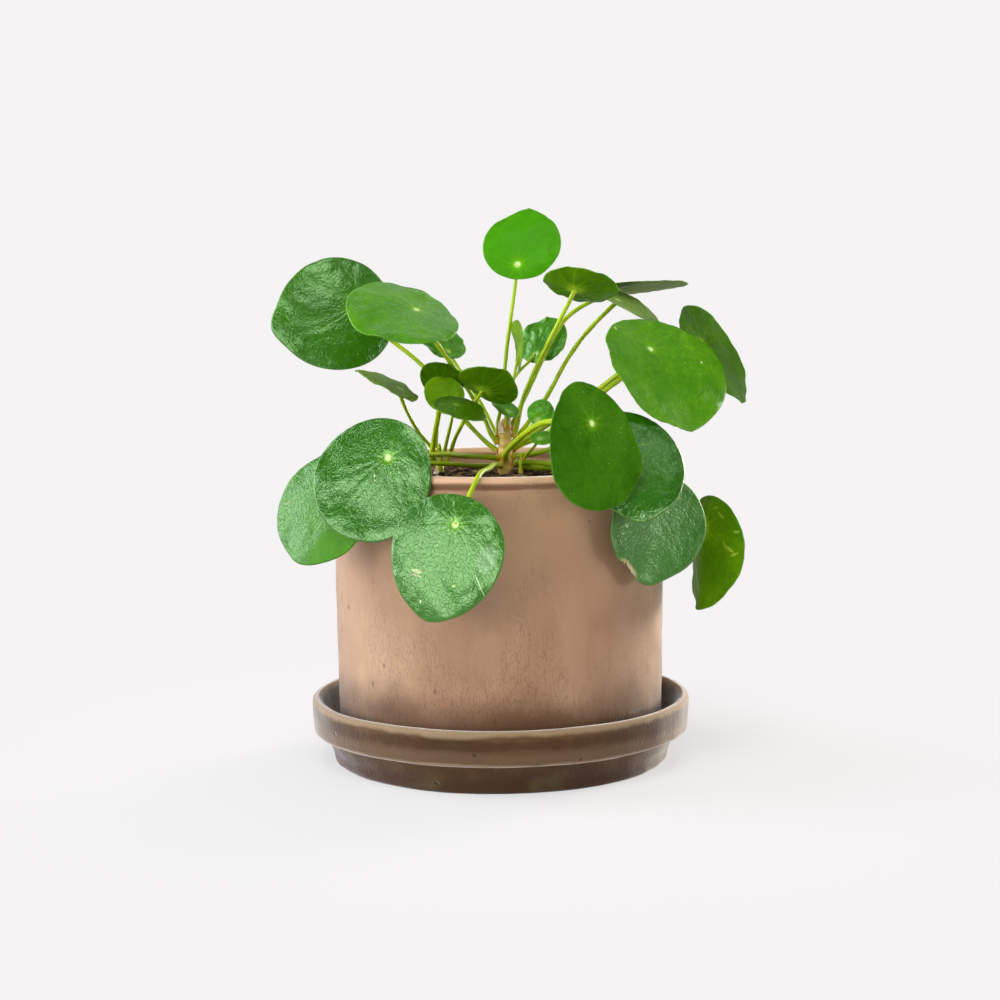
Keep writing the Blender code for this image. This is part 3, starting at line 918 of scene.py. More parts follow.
@dataclass(frozen=True)
class Flesh:
    """A green stalk: paler and yellower along its streaks, orange-brown at its foot."""

    name: str
    green: Colour = (0.22, 0.35, 0.002)
    pale: Colour = (0.46, 0.58, 0.010)
    foot: Colour = (0.62, 0.33, 0.03)
    foot_length: float = 3.5  # millimetres from the foot over which its colour fades

    def make(self, groups: Groups) -> bpy.types.Material:
        """Builds the material; it reads the stalk's map: x round it, y along it.

        Args:
            groups: the shared node groups.

        Returns:
            The material.
        """
        material, w, shader = new_material(self.name, {
            "Specular IOR Level": 0.25, "Subsurface Weight": 0.35,
            "Subsurface Radius": (0.7, 1.0, 0.15), "Subsurface Scale": 0.0012})
        streak = groups.cloud(w, w.stretch(w.chart(), (0.012, 0.012, 1.0)), 300.0, 1400.0, 0.5)
        cloud = w.noise(w.place(), 120.0)
        foot = w.plus(w.value("away"), w.sway(cloud, 4.0))
        colour = w.blend(w.total((streak, 0.5), (cloud, 0.4)), self.green, self.pale)
        colour = w.blend(w.fade(foot, 0.3, self.foot_length), colour, self.foot)
        dress_shader(w, shader, colour, w.plus(0.3, w.product(streak, 0.16)),
                     w.plus(streak, cloud), 0.06 * MM)
        return material


@dataclass(frozen=True)
class Crumb:
    """A rough dull solid with cloudy colour: potting mix, fibre, papery scales, perlite."""

    name: str
    dark: Colour
    light: Colour
    patch: Colour
    wide: float = 90.0        # cells of cloud a metre
    fine: float = 700.0
    rough: float = 0.92
    depth: float = 0.0005     # metres of relief

    def make(self, groups: Groups) -> bpy.types.Material:
        """Builds the material from its two colours and its patches.

        Args:
            groups: the shared node groups.

        Returns:
            The material.
        """
        material, w, shader = new_material(self.name, {"Specular IOR Level": 0.25})
        place = w.place()
        cloud = groups.cloud(w, place, self.wide, self.fine, 0.5)
        patch = w.step(w.noise(place, self.wide * 1.7), 0.55, 0.7)
        colour = w.coats(w.blend(cloud, self.dark, self.light), (patch, 0.7, self.patch))
        rough = w.plus(self.rough - 0.1, w.product(cloud, 0.1))
        relief = w.plus(cloud, w.noise(place, self.fine * 1.5))
        dress_shader(w, shader, colour, rough, relief, self.depth)
        return material


POT_CLAY = Clay(
    "pot_clay", body=(0.335, 0.182, 0.098), pale=(0.42, 0.272, 0.17), rust=(0.25, 0.13, 0.068),
    damp_and_shade=(0.118, 0.052, 0.016), moss=(0.15, 0.125, 0.055), damp_and_shade_low=27.0, damp_and_shade_top=50.0,
    # A paler upper wall: painted light that makes up for the light which the leaves shade off it.
    green=0.04, bands=(Band(125.0, 50.0, 0.5, (0.44, 0.265, 0.15)),
                       # A paler band on the collar's top: a painted highlight where the collar
                       # faces up.
                       Band(143.5, 4.0, 0.75, (0.68, 0.43, 0.26)),
                       # A dark line under the collar: painted shade in the groove.
                       Band(139.2, 1.9, 0.8, (0.19, 0.08, 0.033))))
SAUCER_CLAY = Clay(
    "saucer_clay", body=(0.058, 0.025, 0.007), pale=(0.128, 0.072, 0.033),
    rust=(0.050, 0.020, 0.005), damp_and_shade=(0.055, 0.026, 0.012), moss=(0.12, 0.10, 0.035),
    damp_and_shade_low=6.0, damp_and_shade_top=13.0, green=0.15, grain=0.12, sheen=0.9, shine=0.12,
    # A darker middle of the band: painted shade on its face, which turns slightly down.
    bands=(Band(24.6, 3.4, 0.6, (0.045, 0.019, 0.005)),
           Band(17.5, 5.0, 0.6, (0.13, 0.080, 0.048)),
           # A paler crest: partly worn clay, partly a painted highlight where the crest faces up.
           Band(31.0, 3.6, 0.75, (0.30, 0.215, 0.13)),
           Band(14.9, 1.5, 0.8, (0.30, 0.20, 0.13)),
           # A dark line at the base: a painted contact shadow.
           Band(0.0, 2.6, 0.9, (0.012, 0.006, 0.004))))
PEAT = Crumb("peat", dark=(0.012, 0.007, 0.004), light=(0.07, 0.04, 0.02),
             patch=(0.03, 0.017, 0.009), wide=220.0, fine=900.0, rough=0.98, depth=0.0012)
FIBRE = Crumb("fibre", dark=(0.16, 0.085, 0.03), light=(0.50, 0.30, 0.13),
              patch=(0.10, 0.05, 0.02), wide=150.0)
PERLITE = Crumb("perlite", dark=(0.55, 0.52, 0.46), light=(0.80, 0.79, 0.75),
                patch=(0.40, 0.34, 0.26), wide=300.0)
PAPER = Crumb("paper", dark=(0.72, 0.48, 0.32), light=(0.90, 0.72, 0.56),
              patch=(0.62, 0.34, 0.18), wide=200.0, fine=900.0, rough=0.6, depth=0.0003)
BARK = Flesh("bark", green=(0.52, 0.42, 0.015), pale=(0.92, 0.56, 0.30),
             foot=(0.34, 0.17, 0.03), foot_length=8.0)
STALK = Flesh("stalk")
SHOOT = Flesh("shoot", green=(0.30, 0.42, 0.010), pale=(0.56, 0.60, 0.04),
              foot=(0.86, 0.50, 0.06), foot_length=6.5)


# ---------------------------------------------------------------- pieces

def dress(piece: bpy.types.Object, material: bpy.types.Material, slot: str,
          *nodes: str) -> bpy.types.Object:
    """Gives a piece its finish, puts it under the body and hides the CAD nodes that it stands for.

    Args:
        piece: the finished object.
        material: its material.
        slot: not used.
        nodes: the CAD nodes that it stands for.

    Returns:
        The piece.
    """
    piece.data.materials.append(material)
    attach(piece, BODY)
    if nodes:
        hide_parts(*nodes)
    LOG.info("%s: %d faces", piece.name, len(piece.data.polygons))
    return piece


def arc(centre: tuple[float, float], radius: float, start: float, end: float,
        count: int = 8) -> Array:
    """Points of a circle's arc in the plane of radius and height.

    Args:
        centre: the circle's middle.
        radius: its radius.
        start: the first point's angle in degrees.
        end: the last point's angle.
        count: how many points.

    Returns:
        The points, one row each.
    """
    angle = np.radians(np.linspace(start, end, count))
    return np.stack([centre[0] + radius * np.cos(angle), centre[1] + radius * np.sin(angle)], 1)


def revolve(outline: Array, columns: int, uneven: float, seed: int) -> Array:
    """An outline of radius and height carried round the axis. Wide and narrow ripples
    move each point in or out and up or down, as on a thrown or pressed pot.

    Args:
        outline: radius and height, one row each.
        columns: how many places round the axis.
        uneven: how far the ripples move a point, in millimetres.
        seed: which ripples.

    Returns:
        Rings as outline point by column by 3.
    """
    turn = angles(columns)
    radius, height = outline[:, :1], outline[:, 1:]
    rings = np.stack([radius * np.cos(turn), radius * np.sin(turn),
                      np.broadcast_to(height, (len(outline), columns))], axis=-1)
    wave = ripple(rings, 55.0, seed) * 0.6 + ripple(rings, 14.0, seed + 1) * 0.4
    fade = np.clip(radius / 20.0, 0, 1)       # the ripples die out near the axis
    rings[..., :2] *= (1 + uneven * fade * wave / np.maximum(radius, 1.0))[..., None]
    rings[..., 2] += 0.35 * uneven * fade * ripple(rings, 40.0, seed + 2)
    return rings


@dataclass
class Saucer:
    """The dish under the pot: a low wall with a thick band round its top."""

    lip: float = 2.5          # radius of the band's rounded top
    band_foot: float = 14.6   # height of the band's lower edge
    band_root: float = 84.8   # where the band's underside meets the wall
    foot_radius: float = 81.3
    base_radius: float = 79.4
    floor: float = 8.0
    gutter: tuple[tuple[float, float], ...] = ((80.4, 9.5), (80.8, 17.5), (84.6, 20.5))
    band_slope: float = 0.8   # how much further out the band is at its top than at its edge
    band_edge: float = 1.3    # radius of the band's lower edge
    heel: float = 1.6         # radius of the base's edge
    hub: float = 2.0          # where the section starts and ends, out from the axis
    uneven: float = 0.22      # how far its surface strays from a turned one
    step: float = 1.2         # from one point of the section to the next
    columns: int = 240
    seed: int = 11

    def outline(self) -> Array:
        """Half of the section, from the middle of the floor over the band to the
        middle of the underside.

        Returns:
            Radius and height, one row each.
        """
        _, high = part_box("saucer")
        outer, top = high.x / MM, high.z / MM
        edge = self.band_edge
        return np.concatenate([
            [(self.hub, self.floor), (self.base_radius - 1.5, self.floor)], self.gutter,
            arc((outer - self.lip, top - self.lip), self.lip, 175, 5, 14),
            arc((outer - self.band_slope - edge, self.band_foot + edge), edge, 0, -90, 6),
            [(self.band_root + 0.5, self.band_foot), (self.band_root - 0.4, self.band_foot - 1.2),
             (self.foot_radius, 5.5)],
            arc((self.base_radius - 0.4, self.heel), self.heel, -5, -90, 6),
            [(self.hub, 0.0)]])

    def build(self, groups: Groups) -> None:
        """Makes the dish and its unglazed skin.

        Args:
            groups: the shared node groups.
        """
        outline = spread(self.outline(), self.step)
        rings = revolve(outline, self.columns, self.uneven, self.seed)
        rings[:, :, 2] = np.maximum(rings[:, :, 2], 0.0)
        ends = (np.array([0, 0, outline[0, 1]]), np.array([0, 0, outline[-1, 1]]))
        dress(skin("saucer_dish", rings, ends), SAUCER_CLAY.make(groups), "saucer_clay", "saucer")


@dataclass
class Pot:
    """The straight pot, with a low collar round its rim and a drain hole."""

    collar: float = 5.4       # its height
    groove: float = 0.55      # depth of the line under the collar
    neck: float = 0.8         # how far the collar stands out
    taper: float = 1.5        # how much less the radius is at the foot
    wall: float = 7.5
    floor: float = 9.0
    drain: float = 8.0        # radius of the hole
    lip_round: float = 1.6    # radii of the rounded edges: inside the lip,
    foot_round: float = 2.0   # at the foot,
    drain_round: float = 1.0  # at the hole
    floor_round: float = 6.0  # and where the wall meets the floor
    uneven: float = 0.16      # how far its surface strays from a turned one
    step: float = 1.4         # from one point of the section to the next
    columns: int = 256
    seed: int = 21

    def outline(self) -> Array:
        """The wall's section as a loop: outside from the lip down, then inside and up.

        Returns:
            Radius and height, one row each.
        """
        low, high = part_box("pot")
        rim, top, bottom = high.x / MM, high.z / MM, low.z / MM
        neck, foot = rim - self.neck, rim - self.neck - self.taper
        shoulder = top - self.collar
        inside, inside_foot = neck - self.wall + 0.9, foot - self.wall
        floor, bead = bottom + self.floor, self.collar / 2
        heel, hole, bowl, lip = (self.foot_round, self.drain_round, self.floor_round,
                                 self.lip_round)
        return np.concatenate([
            arc((rim - bead, top - bead), bead, 90, -62, 14),
            [(neck - self.groove, shoulder - 0.1), (neck - 0.15, shoulder - 1.0),
             (neck, shoulder - 2.4)],
            arc((foot - heel, bottom + heel), heel, 0, -90, 8),
            arc((self.drain + hole, bottom + hole), hole, -90, -180, 5),
            arc((self.drain + hole, floor - hole), hole, 180, 90, 5),
            arc((inside_foot - bowl, floor + bowl), bowl, -90, 0, 8),
            arc((inside + lip, top - lip), lip, 180, 95, 7)])

    def build(self, groups: Groups) -> None:
        """Makes the pot and its unglazed skin.

        Args:
            groups: the shared node groups.
        """
        outline = spread(self.outline(), self.step)
        rings = revolve(outline, self.columns, self.uneven, self.seed)
        dress(skin("pot_body", rings), POT_CLAY.make(groups), "pot_clay", "pot")


def lumps(places: Array, sizes: Array, seed: int) -> tuple[Array, Array, Array]:
    """Small irregular stones: three rings of six points and two poles each, with every
    point's distance from the middle drawn at random and each stone turned at random.

    Args:
        places: the middles.
        sizes: the radii along three axes, one row each.
        seed: which stones.

    Returns:
        Points, quads and triangles of all the stones together.
    """
    draw = np.random.default_rng(seed)
    count, rows, columns = len(places), 3, 6
    polar = np.pi * np.arange(1, rows + 1) / (rows + 1)
    turn, polar = angles(columns), polar[:, None]
    ring = np.stack(np.broadcast_arrays(np.sin(polar) * np.cos(turn), np.sin(polar) * np.sin(turn),
                                        np.cos(polar)), -1).reshape(-1, 3)
    ball = np.concatenate([ring, [[0, 0, 1.0], [0, 0, -1.0]]])
    rough = draw.uniform(0.72, 1.2, (count, len(ball), 1))
    turned = np.linalg.qr(draw.normal(size=(count, 3, 3)))[0]
    points = np.einsum("nij,nkj->nki", turned, ball * rough * sizes[:, None]) + places[:, None]
    mirrored = np.linalg.det(turned) < 0
    offset = np.arange(count)[:, None, None] * len(ball)
    quads = grid_quads(rows, columns, False, True) + offset
    fans = cap_fans(rows, columns) + offset
    for faces in (quads, fans):
        faces[mirrored] = faces[mirrored][:, :, ::-1]
    return points.reshape(-1, 3), quads.reshape(-1, 4), fans.reshape(-1, 3)


def threads(paths: Array, radius: Array) -> tuple[Array, Array, Array]:
    """Thin three-sided threads, each along its own path. The thickness follows a sine,
    so that they taper to their ends.

    Args:
        paths: places as thread by point by 3.
        radius: one radius for each thread.

    Returns:
        Points, quads and triangles of all the threads together.
    """
    count, steps = paths.shape[:2]
    sides, blunt = 3, 0.35    # how far from 0 and from half a turn the sine starts and ends
    along = unit(np.gradient(paths, axis=1))
    first = unit(np.cross(along, np.array([0.13, 0.21, 0.97])))
    second = np.cross(along, first)
    turn = angles(sides)[:, None]
    thick = radius[:, None] * np.sin(np.linspace(blunt, np.pi - blunt, steps))
    ring = np.cos(turn) * first[:, :, None] + np.sin(turn) * second[:, :, None]
    points = paths[:, :, None] + thick[:, :, None, None] * ring
    offset = np.arange(count)[:, None, None] * steps * sides
    quads = grid_quads(steps, sides, False, True)[:, ::-1]
    last = (steps - 1) * sides
    fans = np.array([[0, 1, 2], [last + 2, last + 1, last]])
    return (points.reshape(-1, 3), (quads + offset).reshape(-1, 4), (fans + offset).reshape(-1, 3))


@dataclass
class Soil:
    """Potting mix: a crumbled surface, with loose crumbs, fibres and perlite on it."""

    columns: int = 300        # round the ground's surface
    rows: int = 96            # and outwards on it
    crumbs: int = 1500
    fibres: int = 750
    pearls: int = 30
    seed: int = 5
    clods: tuple[tuple[float, float], ...] = ((0.55, 14.0), (0.45, 5.5))   # height, length
    grit: tuple[float, float] = (0.4, 3.0)    # the same for sharp-edged clods
    sunk: float = 0.6         # how far the clods sink the surface

    def __post_init__(self) -> None:
        """Reads the mound's edge, the height there, its rise and its foot from the CAD
        node."""
        points, _ = merged("soil")
        span = np.hypot(points[:, 0], points[:, 1])
        self.edge = span.max()
        self.rim = points[span > self.edge - 0.5, 2].max()
        self.crown = points[:, 2].max() - self.rim
        self.bottom = points[:, 2].min()

    def height(self, places: Array) -> Array:
        """The surface's height: a cosine mound with clods of three sizes.

        Args:
            places: x, y and a number that isn't read, on the last axis.

        Returns:
            One height for each place.
        """
        span = np.hypot(places[..., 0], places[..., 1])
        flat = np.stack([places[..., 0], places[..., 1], np.zeros_like(span)], -1)
        mound = self.crown * (1 + np.cos(np.pi * np.clip(span / self.edge, 0, 1))) / 2
        clods = sum(high * ripple(flat, long, 31 + place)
                    for place, (high, long) in enumerate(self.clods))
        grit = self.grit[0] * np.abs(ripple(flat, self.grit[1], 33))
        return self.rim + mound + (clods + grit) - self.sunk

    def scatter(self, count: int, draw: np.random.Generator, sink: float) -> Array:
        """Random places spread evenly over the surface.

        Args:
            count: how many.
            draw: the source of chance.
            sink: how far under the surface they lie.

        Returns:
            The places, one row each.
        """
        span = (self.edge - 1.5) * np.sqrt(draw.uniform(0, 1, count))
        turn = draw.uniform(0, TURN, count)
        places = np.stack([span * np.cos(turn), span * np.sin(turn), np.zeros(count)], 1)
        places[:, 2] = self.height(places) - sink
        return places

    def ground(self) -> bpy.types.Object:
        """The body of the mix: rings outwards over the surface, then down and inwards.

        Returns:
            The body.
        """
        turn, base = angles(self.columns), self.bottom + 1.0
        span = np.concatenate([np.linspace(0.8, self.edge, self.rows), [self.edge, 8.0]])[:, None]
        rings = np.stack(np.broadcast_arrays(span * np.cos(turn), span * np.sin(turn), base), -1)
        rings[:self.rows, :, 2] = self.height(rings[:self.rows])
        ends = (np.array([0, 0, rings[0, :, 2].mean()]), np.array([0, 0, base]))
        return skin("soil_ground", rings, ends)

    def fibre_paths(self, draw: np.random.Generator) -> Array:
        """The lines of the loose fibres: each lies on the surface along its own heading,
        bent to one side as a parabola and lifted in the middle.

        Args:
            draw: the source of chance.

        Returns:
            Places as fibre by point by 3.
        """
        steps = 6
        start = self.scatter(self.fibres, draw, -0.25)
        heading = draw.uniform(0, TURN, self.fibres)[:, None]
        length = draw.uniform(2.5, 11.0, self.fibres)[:, None]
        along = np.linspace(-0.5, 0.5, steps)
        curl = draw.normal(0, 0.5, self.fibres)[:, None] * along ** 2 * length
        reach = along * length
        paths = np.stack([start[:, :1] + reach * np.cos(heading) - curl * np.sin(heading),
                          start[:, 1:2] + reach * np.sin(heading) + curl * np.cos(heading),
                          np.zeros_like(reach)], -1)
        span = np.linalg.norm(paths[..., :2], axis=-1)
        paths[..., :2] *= np.minimum(1, (self.edge - 1.0) / span)[..., None]
        lift = draw.uniform(0.1, 1.3, self.fibres)[:, None] * np.sin(np.linspace(0, np.pi, steps))
        paths[..., 2] = self.height(paths) + 0.25 + lift
        return paths

    def build(self, groups: Groups) -> None:
        """Makes the ground and what lies on it.

        Args:
            groups: the shared node groups.
        """
        draw = np.random.default_rng(self.seed)
        peat, fibre = PEAT.make(groups), FIBRE.make(groups)
        dress(self.ground(), peat, "peat", "soil")
        sizes = draw.gamma(3.0, 0.24, (self.crumbs, 1)) * draw.uniform(0.6, 1.3, (self.crumbs, 3))
        places = self.scatter(self.crumbs, draw, 0.1)
        dress(store("soil_crumbs", *lumps(places, np.clip(sizes, 0.2, 2.2), 6), flat=True),
              peat, "peat")
        paths = self.fibre_paths(draw)
        dress(store("soil_fibres", *threads(paths, draw.uniform(0.1, 0.34, self.fibres))),
              fibre, "peat")
        sizes = draw.uniform(0.5, 1.3, (self.pearls, 1)) * draw.uniform(0.7, 1.2, (self.pearls, 3))
        places = self.scatter(self.pearls, draw, -0.3)
        dress(store("soil_perlite", *lumps(places, sizes, 7)), PERLITE.make(groups), "peat")


@dataclass(frozen=True)
class Form:
    """A blade's middle surface, read from its CAD node.

    The node is a flattened ball: its two poles lie over and under the navel, and its
    meridians run from them to the margin. The points of one meridian share their
    direction from the navel, and the mean of an upper and a lower point lies on the
    middle surface.
    """

    navel: Array
    normal: Array
    rings: Array              # meridian by ring by 3, from the navel outwards
    shares: Array             # each ring's share of the way to the margin

    @classmethod
    def read(cls, node: str, foot: Array) -> "Form":
        """Finds the poles, the meridians and the rings.

        Args:
            node: the blade's CAD node.
            foot: the end of the petiole, under the blade.

        Returns:
            The form, whose first meridian runs to the tip.
        """
        points, edges = merged(node)
        order = np.argsort(edges)
        poles, rest = points[order[-2:]], points[order[:-2]]
        navel = poles.mean(axis=0)
        normal = unit(poles[1] - poles[0])
        normal *= np.sign(normal @ (navel - foot))
        first = unit(np.cross(normal, np.array([0.31, 0.72, 0.62])))
        second = np.cross(normal, first)
        angle = np.arctan2((rest - navel) @ second, (rest - navel) @ first)
        rest, angle = rest[np.argsort(angle)], np.sort(angle)
        gap = np.argmax(np.diff(np.append(angle, angle[0] + TURN)))
        rest = np.roll(rest, -gap - 1, axis=0)
        shares = np.array([0.5, math.sqrt(0.75), 1.0] if len(rest) == 100
                          else [math.sqrt(0.5), 1.0])
        groups = rest.reshape(-1, 2 * len(shares) - 1, 3)
        out = np.linalg.norm(np.cross(groups - navel, normal), axis=-1)
        groups = np.take_along_axis(groups, np.argsort(out, axis=1)[..., None], axis=1)
        pairs = groups[:, :-1].reshape(len(groups), -1, 2, 3).mean(axis=2)
        rings = np.concatenate([pairs, groups[:, -1:]], axis=1)
        tip = np.argmax(np.linalg.norm(rings[:, -1] - navel, axis=-1))
        return cls(navel, normal, np.roll(rings, -tip, axis=0), shares)

    def surface(self, shares: Array, columns: int) -> Array:
        """The smooth middle surface. Round the blade a Fourier series runs through the
        meridians, and outwards a polynomial of the share runs through the rings.

        Args:
            shares: how far out, from 0 to 1, one row of the result each.
            columns: how many directions.

        Returns:
            Places as share by direction by 3.
        """
        offsets = self.rings - self.navel
        spectrum = np.fft.rfft(offsets, axis=0)
        padded = np.zeros((columns // 2 + 1, *spectrum.shape[1:]), complex)
        padded[:len(spectrum)] = spectrum
        padded[len(spectrum) - 1] *= 0.5
        fine = np.fft.irfft(padded, n=columns, axis=0) * columns / len(offsets)
        powers = np.arange(1, len(self.shares) + 1)
        terms = np.linalg.solve(self.shares[:, None] ** powers, fine)
        return self.navel + np.einsum("sp,cpk->sck", shares[:, None] ** powers, terms)

    @property
    def axes(self) -> tuple[Array, Array]:
        """The directions in the blade's plane to the tip and to its side.

        Returns:
            Two unit vectors.
        """
        tip = self.rings[0, -1] - self.navel
        tip = unit(tip - (tip @ self.normal) * self.normal)
        return tip, np.cross(self.normal, tip)


@dataclass(frozen=True)
class Habit:
    """What sets one leaf's looks apart from the others'. Directions are in degrees from
    the tip, and the rest is in millimetres."""

    wax: Wax = Wax()
    wave: float = 0.5         # how far the blade's waves stand out
    dome: float = 0.8         # how far the margin hangs below the middle
    quilt: float = 0.04       # how far the blade bulges between its main veins
    crinkle: float = 0.05     # the height of its small folds
    tilt: float = 0.0         # degrees by which the blade turns to face up
    cup: tuple[float, float] = (0.0, 0.0)     # direction and height of a raised side
    ribs: tuple[float, float, float] = (0.0, 1.0, 0.0)   # direction, half width, bulge
    point: tuple[float, float] = (0.0, 0.0)   # direction and length of a pointed tip
    tear: tuple[float, float] | None = None   # the torn margin: direction, half width


@dataclass(frozen=True)
class Lamina:
    """The measures that every blade shares, in millimetres."""

    usual: float = 25.0       # the size of blade for which a habit's heights are given
    rib: float = 0.9          # half width of a main vein
    valley: float = 2.6       # how far from a vein the quilting rises
    hub: float = 6.0          # how far from the navel it rises
    calm: float = 1.5         # the flat place at the navel
    dimple: float = 1.7       # how wide the dimple on top is
    boss: float = 2.6         # and the boss under it
    thick: float = 0.42       # half of a large blade's thickness at the navel
    thin: float = 0.32        # and half of a small one's


LAMINA = Lamina()


def hump(distance: Array, width: float) -> Array:
    """A bell of height 1 over distance 0: e to the power of minus (distance / width)^2."""
    return np.exp(-(distance / width) ** 2)


@dataclass(frozen=True)
class Plan:
    """A blade's grid laid out flat round its navel, in millimetres. Its rows run
    outwards, and its columns run round from the tip."""

    share: Array              # each row's share of the way to the margin, as a column
    turn: Array               # each column's angle
    along: Array              # how far each point lies towards the tip
    across: Array             # and to the side

    @property
    def reach(self) -> Array:
        """Each point's distance from the navel."""
        return np.hypot(self.along, self.across)

    @property
    def size(self) -> float:
        """The margin's mean distance from the navel."""
        return self.reach[-1].mean()

    @property
    def spot(self) -> Array:
        """The points on a flat sheet."""
        return np.stack([self.along, self.across, np.zeros_like(self.along)], -1)

    def off_vein(self, seed: int) -> Array:
        """How far each point is from the nearest main vein: the veins lie where the angle,
        leaned by its sine and a ripple, is a whole number of VEINS-ths of a turn.

        Args:
            seed: which ripple.

        Returns:
            The distances, in millimetres.
        """
        lean = np.sin(self.turn) * (VEIN_LEAN + VEIN_SWEEP * self.reach)
        phase = (self.turn + lean) * VEINS / TURN
        phase = phase + 0.16 * ripple(self.spot, 30.0, seed) * np.minimum(1, self.reach / 8.0)
        return np.abs(phase - np.round(phase)) * TURN / VEINS * self.reach

    def away_from(self, direction: float) -> Array:
        """How far each column is from a direction given in degrees, in radians."""
        return np.abs((self.turn - math.radians(direction) + np.pi) % TURN - np.pi)


